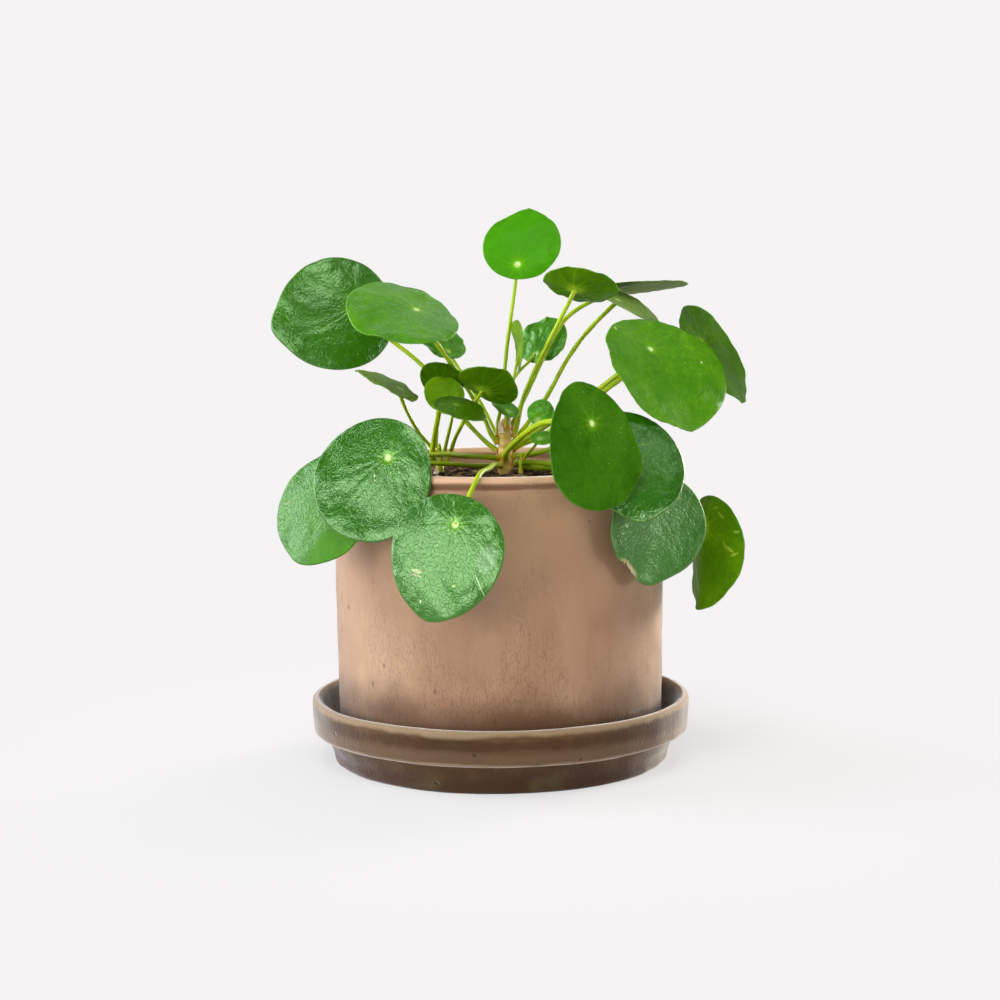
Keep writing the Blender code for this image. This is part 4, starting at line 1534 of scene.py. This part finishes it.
@dataclass
class Leaf:
    """A petiole and the round blade that it carries."""

    number: int
    habit: Habit
    sunk: float = 1.3         # how far the petiole starts inside the stem
    held: float = 0.6         # how far under the blade's middle surface it ends
    foot_swell: float = 0.42  # how much thicker it is at its foot, as a share
    foot_reach: float = 2.6   # and how far up
    top_swell: float = 0.16   # the same under the blade
    top_reach: float = 1.6

    def __post_init__(self) -> None:
        """Reads the petiole's centre line and the blade's form from the frame.

        From the navel down, each next six corners of the petiole's node are one ring.
        The ring next to the blade is left out, because the line bends there, and the
        rest is smoothed, most near the blade.
        """
        sides = 6
        self.name = f"leaf_{self.number:02d}"
        points, edges = merged(f"{self.name}_blade")
        here = points[np.argsort(edges)[-2:]].mean(axis=0)
        corners, _ = merged(f"{self.name}_petiole")
        centres = []
        while len(corners):
            nearest = np.argsort(np.linalg.norm(corners - here, axis=1))
            ring = corners[nearest[:sides]]
            here = ring.mean(axis=0)
            self.girth = np.linalg.norm(ring - here, axis=1).mean()
            centres.append(here)
            corners = corners[nearest[sides:]]
        line = np.delete(np.array(centres[::-1]), -2, axis=0)
        free = np.clip((np.arange(len(line)) - len(line) + 6) / 3, 0.2, 1)[1:-1, None]
        for _ in range(7):
            line[1:-1] += free * ((line[:-2] + line[2:]) / 2 - line[1:-1]) / 2
        self.line = line
        self.form = Form.read(f"{self.name}_blade", centres[0])
        self.large = len(self.form.shares) == 3
        self.seed = 100 + self.number

    def stalk(self) -> bpy.types.Object:
        """The petiole: a round stalk along a spline through its CAD rings, which starts
        inside the stem and ends inside the blade. Its radius swells at the foot and
        again, less, under the blade.

        Returns:
            The stalk.
        """
        line = self.line.copy()
        line[0] += unit(line[0] - line[1]) * self.sunk
        line[-1] = self.form.navel - self.form.normal * self.held
        length = np.linalg.norm(np.diff(line, axis=0), axis=1).sum()
        at = np.linspace(0, 1, max(16, round(length / 1.1)))
        path, run = spline(line, at), at * length
        radius = self.girth * (1.04 - 0.1 * at + self.foot_swell * hump(run, self.foot_reach)
                               + self.top_swell * hump(length - run, self.top_reach))
        columns = 14
        rings = tube_rings(path, radius, columns)
        rings += 0.05 * ripple(rings, 7.0, 70 + self.number)[..., None] * unit(
            rings - path[:, None])
        turn = np.arange(columns) / columns
        chart = np.stack(np.broadcast_arrays(turn[None], run[:, None] / CHART_MM), -1)
        away = np.broadcast_to(run[:, None], rings.shape[:2])
        return skin(f"{self.name}_stalk", rings, (path[0], path[-1]),
                    {CHART: chart, "away": away})

    def lift(self, plan: Plan, off: Array) -> Array:
        """How far the blade stands over its middle surface: waves, the hanging margin, a
        bulge between the veins, a raised side and small folds, all calm at the navel.

        Args:
            plan: the blade's grid.
            off: each point's distance from the nearest main vein.

        Returns:
            The heights, in millimetres.
        """
        habit, share, spot, reach, size = self.habit, plan.share, plan.spot, plan.reach, plan.size
        scale = size / LAMINA.usual
        ease = share ** 1.5
        wave = ripple(spot, size * 0.75, self.seed) + 0.3 * ripple(spot, size * 0.28,
                                                                   self.seed + 50)
        lift = habit.wave * scale * ease * wave - habit.dome * scale * share ** 2
        bulge = (1 - hump(off, LAMINA.valley)) * (1 - hump(reach, LAMINA.hub))
        direction, half, height = habit.ribs
        bulge *= habit.quilt + height * hump(plan.away_from(direction), math.radians(half))
        lift += scale * bulge * (1 - share ** 4)
        raised = math.radians(habit.cup[0])
        aside = (plan.along * math.cos(raised) + plan.across * math.sin(raised)) / size
        lift += habit.cup[1] * np.maximum(aside, 0) ** 2
        folds = ripple(spot, 5.0, self.seed + 70) + 0.6 * ripple(spot, 3.0, self.seed + 80)
        lift += habit.crinkle * ease ** 0.3 * folds
        return lift * (1 - hump(reach, LAMINA.calm))

    def blade(self) -> bpy.types.Object:
        """The blade: its middle surface with its relief, a thickness that thins outwards
        and closes in a round margin, a dimple over the navel, furrows over the main
        veins on top and ribs under them.

        Returns:
            The blade.
        """
        columns, steps = (160, 34) if self.large else (96, 22)
        t = np.linspace(0, 1, steps + 1)[1:]
        share = 0.5 * t + 0.25 * (1 - np.cos(np.pi * t))
        middle = self.form.surface(share, columns)
        tip, side = self.form.axes
        flat = middle - self.form.navel
        plan = Plan(share[:, None], angles(columns), flat @ tip, flat @ side)
        reach, size, share = plan.reach, plan.size, plan.share
        torn = np.zeros_like(plan.along)
        if self.habit.tear is not None:
            middle, torn = self.torn(middle, plan)
        axis = unit(np.cross(self.form.normal, np.array([0.0, 0.0, 1.0])))
        turned = np.array(Matrix.Rotation(math.radians(self.habit.tilt), 3, Vector(axis)))
        middle = self.form.navel + (middle - self.form.navel) @ turned.T
        direction, length = self.habit.point
        cusp = length / size * np.exp(-plan.away_from(direction) / 0.13) * share ** 5
        middle = middle + cusp[..., None] * (middle - self.form.navel)
        off = plan.off_vein(self.seed + 60)
        normals = unit(np.cross(np.gradient(middle, axis=0),
                                np.roll(middle, -1, axis=1) - np.roll(middle, 1, axis=1)))
        facing = turned @ self.form.normal
        normals *= np.sign(np.sum(normals * facing, axis=-1, keepdims=True))
        middle = middle + self.lift(plan, off)[..., None] * normals
        vein = hump(off, LAMINA.rib) * np.exp(-reach / (0.6 * size))
        body = (LAMINA.thick if self.large else LAMINA.thin) * (1 - 0.45 * share)
        close = np.sqrt(np.clip(1 - ((share - 0.965) / 0.035).clip(0) ** 2, 0, 1))
        upper = (body - 0.05 * vein - 0.5 * hump(reach, LAMINA.dimple)) * close
        lower = (body + 0.35 * vein + 0.5 * hump(reach, LAMINA.boss)) * close
        top, low = middle + upper[..., None] * normals, middle - lower[..., None] * normals
        rim = np.clip((share * size - size + 0.5) / 0.5, 0, 1)
        layers = {CHART: np.stack([plan.along, plan.across], -1) / CHART_MM + 0.5,
                  "rim": np.broadcast_to(rim, reach.shape), "tear": torn}
        values = {title: np.concatenate([value, value[-2::-1]])
                  for title, value in layers.items()}
        values["upper"] = np.concatenate([np.ones_like(reach), np.zeros_like(reach[:-1])])
        return skin(f"{self.name}_leaf", np.concatenate([top, low[-2::-1]]),
                    (top[0].mean(axis=0), low[0].mean(axis=0)), values)

    def torn(self, middle: Array, plan: Plan) -> tuple[Array, Array]:
        """Pulls the margin in where it is torn, with a ragged edge.

        Args:
            middle: the middle surface.
            plan: the blade's grid.

        Returns:
            The surface, and how torn and dry each place is.
        """
        direction, half = self.habit.tear
        near = np.exp(-(plan.away_from(direction) / math.radians(half)) ** 4)
        ragged = 0.03 + 0.035 * np.abs(ripple(middle[-1], 2.6, 9))
        bite = near * ragged * plan.share ** 8
        worn = near * np.clip((plan.share - 0.9) / 0.06, 0, 1)
        return middle - bite[..., None] * (middle - self.form.navel), worn

    def build(self, groups: Groups, stalk: bpy.types.Material) -> None:
        """Makes the petiole and the blade and gives them their finishes.

        Args:
            groups: the shared node groups.
            stalk: the petiole's material.
        """
        dress(self.stalk(), stalk, "petiole", f"{self.name}_petiole")
        wax = self.habit.wax.make(f"wax_{self.number:02d}", groups)
        dress(self.blade(), wax, "leaf_blade", f"{self.name}_blade")


@dataclass
class Stem:
    """An upright stem with swollen nodes and papery scales."""

    node: str
    slot: str
    swell: float              # how much thicker it is than its CAD tube
    scales: int
    scale_length: float = 7.0
    seed: int = 3
    buried: float = 6.0       # how much of it is under the soil
    taper: float = 0.0        # how much thinner its top is, as a share
    beat: float = 4.2         # how far apart its nodes are
    curve: float = 2.4        # radians from one scale to the next round the stem
    thick: float = 0.18       # a scale's thickness
    knob: float = 0.12        # how far its small knobs stand out

    def __post_init__(self) -> None:
        """Reads the axis and the radius at each height from the CAD tube."""
        points, _ = merged(self.node)
        self.middle = (points.min(axis=0) + points.max(axis=0)) / 2
        self.heights = np.unique(np.round(points[:, 2], 2))
        out = np.hypot(points[:, 0] - self.middle[0], points[:, 1] - self.middle[1])
        self.radii = np.array([out[np.abs(points[:, 2] - z) < 0.02].max()
                               for z in self.heights])

    def radius(self, height: Array) -> Array:
        """The bare stem's radius at a height."""
        return np.interp(height, self.heights, self.radii) * self.swell

    def trunk(self) -> bpy.types.Object:
        """The stem: its CAD outline, swollen in rings at the nodes and knobbly round.

        Returns:
            The stem.
        """
        height = np.linspace(self.heights[0], self.heights[-1], 90)
        turn = angles(40)
        beat = 1 + 0.07 * np.sin(height * TURN / self.beat + 0.8) * np.clip(
            (height[-1] - height) / 5, 0, 1)
        rise = (height - height[0]) / (height[-1] - height[0])
        radius = self.radius(height) * beat * (1 - self.taper * rise ** 1.3)
        path = np.stack([np.full_like(height, self.middle[0]),
                         np.full_like(height, self.middle[1]), height], 1)
        ring = np.stack([np.cos(turn), np.sin(turn), np.zeros_like(turn)], 1)
        rings = path[:, None] + radius[:, None, None] * ring
        knobs = ripple(rings, 6.0, self.seed) + 0.6 * ripple(rings, 2.6, self.seed + 1)
        rings += self.knob * knobs[..., None] * ring
        away = np.broadcast_to((height - height[0])[:, None], rings.shape[:2])
        chart = np.stack([np.broadcast_to(turn / TURN, away.shape), away / CHART_MM], -1)
        return skin(self.node + "_trunk", rings, (path[0], path[-1] + [0, 0, 0.4]),
                    {CHART: chart, "away": away - self.buried})

    def scale_leaves(self) -> bpy.types.Object:
        """Papery scales: each is a strip that starts on the stem, curls off it and
        narrows to a point, with a thin rim that makes it a closed body.

        Returns:
            All the scales together.
        """
        draw = np.random.default_rng(self.seed)
        rows, columns = 9, 7
        bearing = np.arange(self.scales) * self.curve + draw.normal(0, 0.3, self.scales)
        foot = np.linspace(self.heights[0] + 11, self.heights[-1] - 2, self.scales)
        long = (self.scale_length * draw.uniform(0.6, 1.15, self.scales))[:, None, None]
        lean = draw.uniform(0.1, 0.45, self.scales)[:, None, None]
        up = np.linspace(0, 1, rows)[:, None]
        side = np.linspace(-1, 1, columns)
        height = foot[:, None, None] + up * long
        angle = bearing[:, None, None] + side * (0.55 * (1 - up) ** 0.6 + 0.02)
        out = (self.radius(foot)[:, None, None] + 0.15 + lean * up ** 2 * long
               + 0.25 * side ** 2 * up)
        faces = [np.stack([self.middle[0] + (out - inward) * np.sin(angle),
                           self.middle[1] - (out - inward) * np.cos(angle),
                           height * np.ones_like(angle)], -1) for inward in (0.0, self.thick)]
        cells = rows * columns
        points = np.stack(faces, axis=1).reshape(-1, 3)
        front = grid_quads(rows, columns, False, False)
        index = np.arange(cells).reshape(rows, columns)
        rim = np.concatenate([index[0], index[1:, -1], index[-1, -2::-1], index[-2:0:-1, 0]])
        edge = np.stack([rim, rim + cells, np.roll(rim, -1) + cells, np.roll(rim, -1)], 1)
        quads = np.concatenate([front, front[:, ::-1] + cells, edge[:, ::-1]])
        quads = quads + (np.arange(self.scales) * 2 * cells)[:, None, None]
        return store(self.node + "_scales", points, quads.reshape(-1, 4))

    def build(self, bark: bpy.types.Material, paper: bpy.types.Material) -> None:
        """Makes the stem and its scales.

        Args:
            bark: the stem's material.
            paper: the scales' material.
        """
        dress(self.trunk(), bark, self.slot, self.node)
        if self.scales:
            dress(self.scale_leaves(), paper, self.slot)


# ---------------------------------------------------------------- the studio

@dataclass(frozen=True)
class Panel:
    """A soft round light far away, at a bearing from the front (-Y) towards +X."""

    bearing: float
    height: float             # degrees over the horizon
    spread: float             # degrees from its middle to the middle of its soft edge
    strength: float
    tint: Colour = (1.0, 1.0, 1.0)
    edge: float = 6.0         # half the width of its soft edge, in degrees

    @property
    def towards(self) -> Triple:
        """The direction of its middle.

        Returns:
            A unit vector.
        """
        turn, rise = math.radians(self.bearing), math.radians(self.height)
        return (math.sin(turn) * math.cos(rise), -math.cos(turn) * math.cos(rise),
                math.sin(rise))


PANELS = (
    Panel(-45, 10, 18, 7.4, edge=2.5),
    Panel(-101, 17, 25, 7.0, (0.95, 1.0, 1.10), 4),
    Panel(134, 4, 15, 34.0, (1.0, 0.90, 0.76), 4),
    Panel(62, 2, 10, 13.0, edge=5),
    Panel(80, 50, 10, 2.6, edge=4),
    Panel(-10, 58, 15, 8.0, edge=3),
    Panel(165, 45, 22, 0.9, edge=5),
)


@dataclass
class Studio:
    """The pale floor, the soft light and the camera."""

    eye: Triple = (0.0006, -1.016, 0.2406)    # metres
    pitch: float = -6.52      # degrees over the horizon
    roll: float = -0.52
    lens: float = 76.54       # millimetres, as the sensor is
    sensor: float = 36.0
    pale: Colour = (0.913, 0.896, 0.896)
    around: float = 0.22      # the light from everywhere
    floor_white: float = 0.62
    floor_half: float = 12000.0           # half of the floor's side, in millimetres
    floor_drop: float = 0.05              # and how far it lies under the saucer
    panels: tuple[Panel, ...] = PANELS

    def camera(self) -> None:
        """The camera looks along +Y, tipped down, with a slight roll."""
        camera = bpy.data.objects.new("camera", bpy.data.cameras.new("camera"))
        camera.data.lens = self.lens
        camera.data.sensor_width = self.sensor
        camera.data.clip_start, camera.data.clip_end = 0.05, 60.0
        bpy.context.scene.collection.objects.link(camera)
        turn = Matrix.Rotation(math.radians(90 + self.pitch), 4, "X")
        spin = Matrix.Rotation(math.radians(self.roll), 4, "Z")
        camera.matrix_world = Matrix.Translation(Vector(self.eye)) @ turn @ spin
        bpy.context.scene.camera = camera

    def floor(self) -> None:
        """A wide matt floor, which turns into an evenly lit sweep away from the plant."""
        half, drop = self.floor_half, self.floor_drop
        corners = np.array([(-half, -half, -drop), (half, -half, -drop), (half, half, -drop),
                            (-half, half, -drop)])
        floor = store("floor", corners, np.array([[0, 1, 2, 3]]))
        material, w, shader = new_material("floor", {
            "Base Color": (*(self.floor_white,) * 3, 1), "Roughness": 0.9,
            "Specular IOR Level": 0.1})
        glow = w.node("Emission", {"Color": self.pale, "Strength": 1.0})
        seen = w.node("LightPath").outputs["Is Camera Ray"]
        sweep = w.step(w.vector("LENGTH", w.place()), 0.08, 0.30, 0.65, 1.0)
        w.finish(w.product(seen, sweep), shader, glow, "Material Output")
        floor.data.materials.append(material)

    def world(self) -> None:
        """Light from all round and from the panels; the lens sees only a pale wall."""
        world = bpy.data.worlds.new("studio")
        world.use_nodes = True
        bpy.context.scene.world = world
        w = Wiring(world.node_tree)
        towards = w.node("TexCoord").outputs["Generated"]
        light = (self.around,) * 3
        for panel in self.panels:
            close = w.vector("DOT_PRODUCT", towards, panel.towards)
            shape = w.step(close, math.cos(math.radians(panel.spread + panel.edge)),
                           math.cos(math.radians(max(0.0, panel.spread - panel.edge))))
            tint = tuple(channel * panel.strength for channel in panel.tint)
            light = w.vector("ADD", light, w.vector("SCALE", tint, scale=shape))
        shade = world.node_tree.nodes["Background"]
        w.feed(shade.inputs["Color"], light)
        wall = w.node("Background", {"Color": self.pale, "Strength": 1.0})
        seen = w.node("LightPath").outputs["Is Camera Ray"]
        w.finish(seen, shade, wall, "World Output")

    def build(self) -> None:
        """Sets up the whole studio."""
        bpy.context.scene.view_settings.view_transform = "Standard"
        self.camera()
        self.floor()
        self.world()


DARK = Wax(green=(0.024, 0.125, 0.003), deep=(0.012, 0.078, 0.002), rough=0.14, grain=0.32,
           shine=0.95)
VIVID = Wax(green=(0.054, 0.175, 0.008), deep=(0.018, 0.085, 0.002), grain=1.0, shine=0.0,
            rough=0.55, net=0.4, specks=0.12)
LIGHT = Wax(green=(0.052, 0.26, 0.001), deep=(0.040, 0.22, 0.001), specks=0.0, grain=0.4,
            glow=(0.20, 0.50, 0.003), through=0.2, shine=0.1, rough=0.3, net=0.1)
BACK = Wax(under=(0.096, 0.21, 0.001), shade=(0.042, 0.115, 0.001), through=0.25, shine=0.08)
# A darker copy of BACK for a leaf that lies in shade: painted shade.
SHADED = replace(BACK, under=(0.055, 0.13, 0.002), shade=(0.028, 0.08, 0.001), shine=0.05)
GREY = Wax(green=(0.15, 0.24, 0.05), deep=(0.10, 0.18, 0.03), under=(0.11, 0.16, 0.012),
           shade=(0.070, 0.11, 0.008), rough=0.35, shine=0.12)
SMALL = Wax(green=(0.068, 0.28, 0.001), deep=(0.025, 0.14, 0.001), navel=0.3, specks=0.02,
            through=0.2, shine=0.35, net=0.15)
BRIGHT = replace(SMALL, green=(0.25, 0.46, 0.002), deep=(0.11, 0.32, 0.001), shine=0.4)
OLIVE = Wax(green=(0.050, 0.135, 0.001), deep=(0.035, 0.10, 0.001), navel=0.08, specks=0.0,
            shine=0.08)

# Pale dots that paint small glints on the leaf: painted highlights.
X_PAINTED_GLINTS = (
    Mark(Blemish.DOT, 10.0, 0.4, 0.5, 0.3),
    Mark(Blemish.DOT, 8.5, -1.6, 0.4, 0.2),
    Mark(Blemish.DOT, 11.6, 1.8, 0.3, 0.3),
)
Z_MARKS = (
    # A pale haze: a painted sheen.
    Mark(Blemish.PAINTED_SHEEN, 9.5, 19.3, 6.5, 4.6, 0.0, 0.25, 0.9),
    Mark(Blemish.SCAR, 24.1, -10.6, 0.8, 2.6, 5.0, 0.55, 1.4),
    Mark(Blemish.BLUSH, 25.8, -10.3, 0.3, 2.8, 3.0, 0.9, 0.4),
    Mark(Blemish.FLECK, 24.7, 8.9, 0.5, 1.1, 20.0, 0.7, 1.2),
    Mark(Blemish.SCRATCH, 21.7, 20.7, 5.5, 0.22, 41.0, 0.6, 0.8),
    # Dark crease lines: painted shade in the creases.
    Mark(Blemish.PAINTED_CREASE_SHADE, 18.5, -12.5, 7.0, 0.3, -3.0, 0.6, 0.6),
    Mark(Blemish.PAINTED_CREASE_SHADE, 8.0, -8.0, 5.3, 0.25, -46.0, 0.5, 0.6),
    Mark(Blemish.PAINTED_CREASE_SHADE, 22.0, -8.0, 3.8, 0.5, 40.0, 0.6, 1.2),
    Mark(Blemish.PAINTED_CREASE_SHADE, 26.5, -5.5, 3.0, 0.4, -60.0, 0.5, 1.2),
    Mark(Blemish.DOT, 35.0, -5.0, 0.7, 0.4, ragged=1.6),
)
I_MARKS = (
    Mark(Blemish.SCRATCH, 9.5, -16.0, 0.7, 0.5, 20.0, 0.5, 1.6),
    Mark(Blemish.SCAR, 13.0, -17.5, 0.6, 0.4, share=0.6, ragged=1.6),
    Mark(Blemish.SCRATCH, 16.0, -19.0, 0.5, 0.4, share=0.5, ragged=1.6),
)
J_MARKS = (
    Mark(Blemish.FLECK, 11.0, -20.0, 0.7, 3.0, 35.0, 0.8, 1.8),
    Mark(Blemish.FLECK, 13.5, -22.5, 0.6, 2.4, -20.0, 0.8, 1.8),
    Mark(Blemish.FLECK, 9.0, -16.5, 0.5, 2.6, 60.0, 0.7, 1.8),
    Mark(Blemish.FLECK, -5.2, -13.6, 0.7, 3.0, 40.0, 0.6, 1.8),
    Mark(Blemish.FLECK, -9.0, -9.0, 0.5, 2.0, 0.0, 0.6, 1.8),
    Mark(Blemish.FLECK, 3.0, -24.0, 0.7, 2.0, 0.0, 0.6, 1.8),
    # A pale haze along a fold: a painted sheen.
    Mark(Blemish.PAINTED_SHEEN, 20.2, 9.4, 14.5, 1.3, -34.0, 0.35, 0.3),
)
Y_MARKS = (
    Mark(Blemish.BLUSH, 11.3, -21.5, 0.9, 0.7, share=0.5),
    # The matt patch: painted shade where the leaf above shadows this one.
    Mark(Blemish.PAINTED_SHADE_MATT, 22.0, 16.5, 20.0, 10.5, -22.0, 0.95, 0.05),
)
E_MARKS = (
    Mark(Blemish.DOT, 15.2, 20.7, 0.6, 0.6),
    Mark(Blemish.DOT, -15.6, -11.0, 0.9, 0.5),
    # Dark crease lines: painted shade in the creases.
    Mark(Blemish.PAINTED_CREASE_SHADE, 30.0, 10.0, 0.25, 4.5, 20.0, 0.5, 1.0),
    Mark(Blemish.PAINTED_CREASE_SHADE, 26.0, 15.0, 0.25, 5.5, 60.0, 0.5, 1.0),
    Mark(Blemish.PAINTED_CREASE_SHADE, 34.0, -4.0, 0.25, 4.0, -20.0, 0.5, 1.0),
)

HABITS = {
    1: Habit(LIGHT, quilt=0.02, crinkle=0.02, point=(3.0, 1.0)),
    2: Habit(BACK),
    3: Habit(GREY, wave=0.1, dome=0.0),
    4: Habit(GREY, wave=0.2),
    5: Habit(Wax(green=(0.120, 0.32, 0.008), deep=(0.038, 0.18, 0.003), grain=1.8, shine=0.1,
                 rough=0.35, net=0.5, marks=E_MARKS), crinkle=0.1, dome=1.2,
             point=(-5.0, 1.2)),
    6: Habit(SHADED),
    7: Habit(VIVID, crinkle=0.08),
    8: Habit(replace(DARK, shine=0.7), dome=0.2, wave=0.2, ribs=(90.0, 60.0, 0.08)),
    9: Habit(replace(DARK, rough=0.25, grain=0.22, marks=I_MARKS), dome=0.4, wave=0.15, tilt=8.0,
             quilt=0.02, crinkle=0.03, tear=(-31.0, 13.0)),
    10: Habit(replace(BACK, marks=J_MARKS, marked_under=True)),
    11: Habit(Wax(green=(0.030, 0.135, 0.002), deep=(0.014, 0.08, 0.001), shine=0.7, rough=0.16,
                  grain=0.4), dome=1.0, wave=0.3, quilt=0.01),
    12: Habit(Wax(green=(0.090, 0.28, 0.004), deep=(0.035, 0.18, 0.002), specks=0.01)),
    13: Habit(SMALL, wave=0.8),
    14: Habit(replace(DARK, marks=X_PAINTED_GLINTS), dome=1.1, crinkle=0.03, wave=0.3, tilt=-1.5,
              ribs=(-35.0, 45.0, 0.06)),
    15: Habit(Wax(green=(0.048, 0.18, 0.003), deep=(0.025, 0.12, 0.002), shine=0.5, grain=1.0,
                  marks=Y_MARKS), dome=0.2, wave=0.35),
    16: Habit(replace(DARK, marks=Z_MARKS), dome=1.6, crinkle=0.03, wave=0.3, cup=(5.0, 3.6),
              quilt=0.02),
    18: Habit(replace(GREY, green=(0.20, 0.32, 0.05), deep=(0.14, 0.25, 0.03))),
    19: Habit(replace(BACK, under=(0.070, 0.15, 0.001))),
    20: Habit(BRIGHT),
    21: Habit(OLIVE),
    22: Habit(BACK),
    23: Habit(SMALL),
    24: Habit(replace(LIGHT, green=(0.075, 0.29, 0.001), deep=(0.035, 0.18, 0.001), shine=0.9),
              quilt=0.02, crinkle=0.02, wave=1.2, dome=2.0),
    25: Habit(replace(BACK, under=(0.20, 0.34, 0.01), shade=(0.10, 0.22, 0.004))),
    26: Habit(SMALL, wave=0.8),
    27: Habit(SMALL),
}


def main() -> None:
    """Builds the studio and every piece."""
    logging.basicConfig(level=logging.INFO, format="%(message)s")
    groups = Groups()
    Studio().build()
    Saucer().build(groups)
    Pot().build(groups)
    Soil().build(groups)
    bark, paper, shoot, stalk = (finish.make(groups) for finish in (BARK, PAPER, SHOOT, STALK))
    Stem("main_stem", "bark", swell=1.12, scales=7, taper=0.15).build(bark, paper)
    Stem("side_stem", "bark", swell=1.1, scales=3, scale_length=3.0, seed=8,
         taper=0.6).build(shoot, paper)
    Stem("bud", "shoot", swell=1.15, scales=0, taper=0.9).build(shoot, paper)
    blades = sorted(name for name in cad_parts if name.endswith("_blade"))
    for number in range(1, len(blades) + 1):
        Leaf(number, HABITS.get(number, Habit())).build(groups, stalk)
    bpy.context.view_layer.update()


if __name__ == "__main__":
    main()
